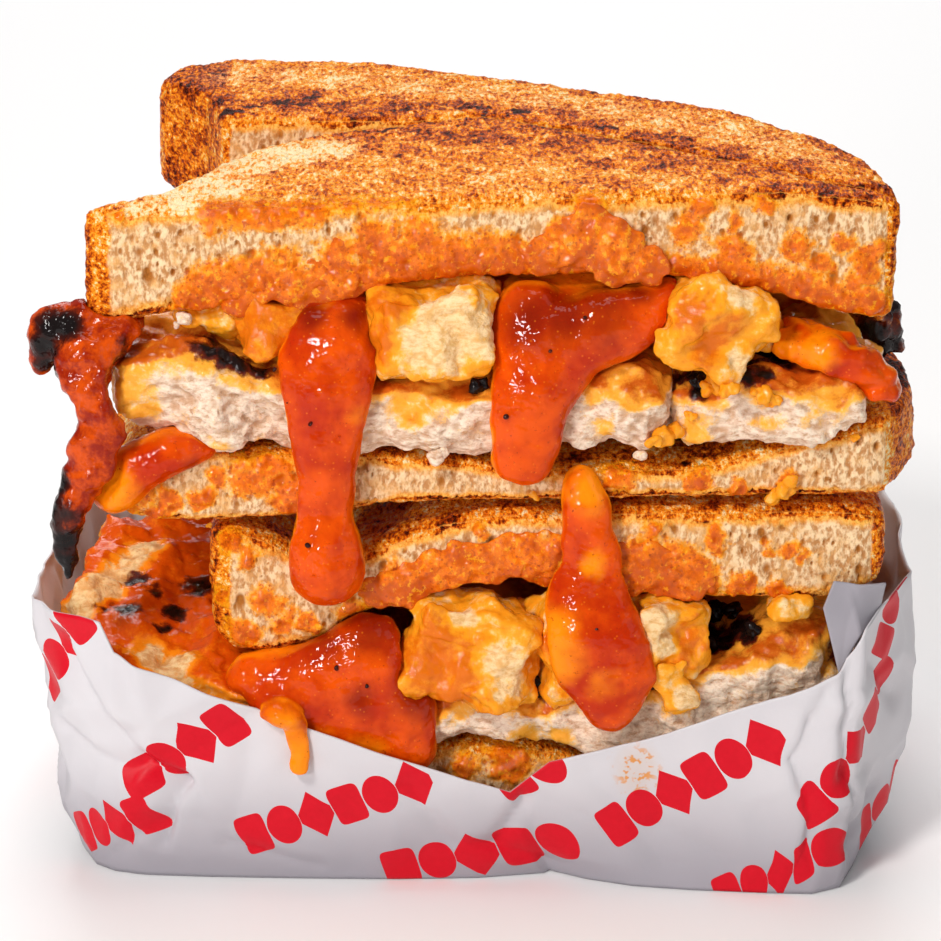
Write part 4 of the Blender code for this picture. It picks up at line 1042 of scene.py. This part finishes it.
sauce = sauce_finish("sauce", (0.50, 0.024, 0.0005), (0.80, 0.088, 0.0008), (1.0, 0.27, 0.003))
for node, thin, thick, lumps in [
    ("upper_sauce", [(-21, -46, 88, 2), (-34, -46, 86, 1.6), (3, -46, 84, 1.5)],
     [(-28, -44, 104, 3), (-20, -44, 104, 3), (9, -44, 103, 4.4), (15, -44, 103, 5), (21, -43, 104, 5),
      (27, -43, 107, 2.4), (-18, -44, 99, 2), (26, -44, 94, 2)], 0.0),
    ("left_sauce", [(-62, -45, 73, 4)], [(-53, -43, 79, 2), (-49, -43, 78, 1.6)], 0.0),
    ("right_sauce", [(50, -43, 98, 4), (57, -44, 97, 3)], [], 1.0),
    ("middle_sauce", [(19, -45, 73, 3), (14, -48, 44, 4), (13, -48, 48, 4), (22, -48, 40, 3.2),
                      (20, -47, 60, 2)], [], 0.0),
    ("lower_sauce", [(-30, -52, 26, 5), (-33, -51, 32, 3), (-20, -48, 25, 3)],
     [(-26, -42, 45, 4), (-18, -42, 47, 5), (-10, -43, 48, 4), (-10, -46, 36, 4), (-20, -46, 36, 3)], 0.3),
]:
    finished(poured_sauce(node, thin, thick, lumps), sauce, "sauce", node)

# ---- The melted cheese ----
# Cheese that ran over the cut faces and browned there: orange, bubbly and oily.


CHEESE_FLATTENED = 0.6


def melted_cheese(node):
    piece = fine_copy(node, 0.45, 3, 0.2)
    points = points_of(piece)[0]
    # It lies thin on the bread, with a torn outline.
    face_of_bread = points[:, 1].max()
    points[:, 1] = face_of_bread + (points[:, 1] - face_of_bread) * CHEESE_FLATTENED
    points[:, 0] += noise_on(points, 3.0, 7.7) * 0.8
    points[:, 2] += noise_on(points, 3.0, 2.7) * 0.8
    place_points(piece, points)
    bubbles = np.array([noise.voronoi(p)[0][0] for p in (points / 2.7).tolist()], np.float32)
    push(piece, (0.42 - bubbles) * 1.1 + noise_on(points, 2.0, 4.4) * 0.5)
    low, high = points[:, 2].min(), points[:, 2].max()
    lower_edge = np.clip(1.0 - (points[:, 2] - low) / (high - low) * 1.6, 0, 1)
    patches = noise_on(points, 3.5, 1.2) * 0.45
    paint(piece, "stain", 0.64 + patches + (bubbles - 0.4) * 0.5 + lower_edge * 0.3)
    paint(piece, "crumb", np.ones(len(points)))
    return piece


for node in ("upper_left_cheese", "upper_right_cheese", "lower_cheese"):
    finished(melted_cheese(node), toast, "cheese", node)

# ---- The charred strip ----
# A strip of glazed meat that hangs out at the left, red and sticky in the middle and burnt black at its
# upper lobe and its tip.

strip = fine_copy("charred_strip", 0.5, 4, 0.3)
points, faces = points_of(strip)
# It narrows to a thin curl at its tip.
CURL_TOP = 82.0
CURL_LENGTH = 26.0
down = np.clip((CURL_TOP - points[:, 2]) / CURL_LENGTH, 0, 1)
left_edge = -68.0 - down * 2.6
points[:, 0] = left_edge + (points[:, 0] - left_edge) * (1.0 - down * 0.38)
# Its middle is drawn in on the right, and it hangs a little to the left below that.
WAIST_HEIGHT = 91.0
WAIST_RIGHT = -62.5
waist = np.exp(-((points[:, 2] - WAIST_HEIGHT) / 6.5) ** 2)
points[:, 0] -= np.maximum(points[:, 0] - WAIST_RIGHT, 0.0) * 0.7 * waist
points[:, 0] -= between(points[:, 2], 86.0, 80.0) * between(points[:, 2], 60.0, 67.0) * 1.4
place_points(strip, points)
points, faces = points_of(strip)
push(strip, noise_on(points, 3.0, 3.0) * 0.7 + noise_on(points, 1.2, 5.0) * 0.3)
BURNT = [
    (-71.5, -43, 101.5, 3), (-69, -43, 102, 2.6), (-73, -43, 98, 2.6), (-72.5, -43, 94, 2.2),
    (-61, -43, 98, 2.2), (-70.3, -46, 70, 3), (-69.5, -46, 65, 3.2), (-69, -46, 60, 4), (-70, -46, 75, 2)
]
paint(strip, "burnt", near(points, BURNT))
tree, shader, glazed_char = finish_named("glazed_char", 0.12)
at = place_in_piece(tree)
patch = mottle(at, 4.0, 4.0, 0.65)
red = mixed(fades(patch, 0.35, 0.62), (0.66, 0.075, 0.002), (0.29, 0.013, 0.001))
burnt = plus(painted(tree, "burnt"), swing(patch, 0.8))
red = mixed(fades(burnt, 0.2, 0.5), red, (0.05, 0.006, 0.003))
red = mixed(fades(burnt, 0.45, 0.75), red, (0.008, 0.005, 0.005))
feed(shader, "Base Color", red)
roughened(shader, mottle(at, 2.0, 2.0, 0.6), 0.6, 0.6)
feed(shader, "Specular IOR Level", 0.2)
finished(strip, glazed_char, "char", "charred_strip")

# ---- The crumbs ----
# Loose bits that stick to the faces: golden and white crumbs of chicken and batter, burnt bits from the
# grill, and ground pepper in the sauce.


NOTHING_THERE = -38.0


def face_at(x, z, pieces, reach=0.9):
    """How far to the front the nearest surface stands at that place."""
    nearest = []
    for piece in pieces:
        points = points_of(piece)[0]
        there = points[np.hypot(points[:, 0] - x, points[:, 2] - z) < reach]
        if len(there):
            nearest.append(there[:, 1].min())
    return min(nearest, default=NOTHING_THERE)


def scattered(name, spots, pieces, sunk, rough):
    """A lump at each place, (x, z, radius), joined into one piece.

    sunk: the share of its radius that a lump goes into the food. rough: the height of its knobs.
    """
    lumps = []
    for x, z, radius in spots:
        y = face_at(x, z, pieces) - radius * (1.0 - sunk)
        bpy.ops.object.select_all(action="DESELECT")
        place = (x * MM, y * MM, z * MM)
        bpy.ops.mesh.primitive_ico_sphere_add(subdivisions=3, radius=radius * MM, location=place)
        lumps.append(bpy.context.object)
        lumps[-1].scale.y = 0.7
    work_on(lumps[0])
    for lump in lumps:
        lump.select_set(True)
    bpy.ops.object.join()
    bpy.ops.object.transform_apply(location=True, rotation=True, scale=True)
    joined = bpy.context.object
    joined.name = name
    points = points_of(joined)[0]
    push(joined, noise_on(points, 1.5, 3.7) * rough + noise_on(points, 0.7, 1.9) * rough * 0.4)
    return joined


food = [piece for piece in bpy.data.objects if piece.name.endswith("_shown")]
GOLDEN = [
    (31.6, 82.4, 1.9), (33.6, 82.9, 1.6), (30, 81.8, 1.2), (36.2, 85.9, 1), (39, 90.2, 1.1),
    (40.2, 90.9, 1.5), (41.7, 91.6, 1.2), (42.7, 92.5, 0.9), (48.6, 89.4, 1.5), (50.2, 89, 1.2),
    (47.2, 90.3, 1), (53.6, 74, 1.3), (52.4, 72.2, 1.6), (51, 70.8, 1.4), (64.3, 81.2, 0.8),
    (-27, 47, 0.8), (10, 71, 0.7), (-46, 64, 0.7)
]
WHITE = [(-6.6, 78.9, 1.4), (-5.2, 79.5, 1.0), (-49.2, 102.2, 1.1), (-50.4, 100.8, 0.8), (27.9, 79.0, 1.1)]
BURNT_BITS = [
    (34, 79.3, 1.2), (0.7, 91.6, 1.4), (10.3, 34.9, 1.8), (12, 37.7, 1.6), (39, 43.6, 1.8), (42.4, 43, 2),
    (45, 44, 1.7), (48, 44.2, 1.3), (30.6, 39.5, 1.2), (29.8, 37, 1.1), (41, 40.5, 1.2), (37, 91, 1)
]
PEPPER = [
    (-33.6, 95.1, 0.6), (-27.8, 86.6, 0.6), (-28.5, 65, 0.45), (-23.8, 41.7, 0.5), (18.1, 104.5, 0.45),
    (-31.5, 90, 0.35), (12.5, 99, 0.4), (5, 88, 0.35), (20.5, 50, 0.45), (14.5, 40, 0.35),
    (-18.6, 38.5, 0.55)
]
golden_crumbs = scattered("golden_crumbs", GOLDEN, food, 0.5, 1.15)
white_crumbs = scattered("white_crumbs", WHITE, food, 0.5, 0.7)
for crumbs, layer in [(golden_crumbs, 0.55), (white_crumbs, 0.0)]:
    points = points_of(crumbs)[0]
    paint(crumbs, "glaze", layer + noise_on(points, 1.2, 2.2) * 0.3)
    paint(crumbs, "deep", 0.4 + noise_on(points, 0.8, 5.2) * 0.6)
    finished(crumbs, glazed_cube if layer else chicken, "chicken")
under_bits = [upper_left, upper_right, lower_front, upper_bottom]
burnt_bits = scattered("burnt_bits", BURNT_BITS, under_bits, 0.6, 1.1)
pepper = scattered("ground_pepper", [(x, z, r * 0.75) for x, z, r in PEPPER], food, 0.7, 0.5)
for bits, black in [(burnt_bits, 1.0), (pepper, 0.5)]:
    paint(bits, "burnt", np.full(len(bits.data.vertices), black))
    finished(bits, glazed_char, "char")
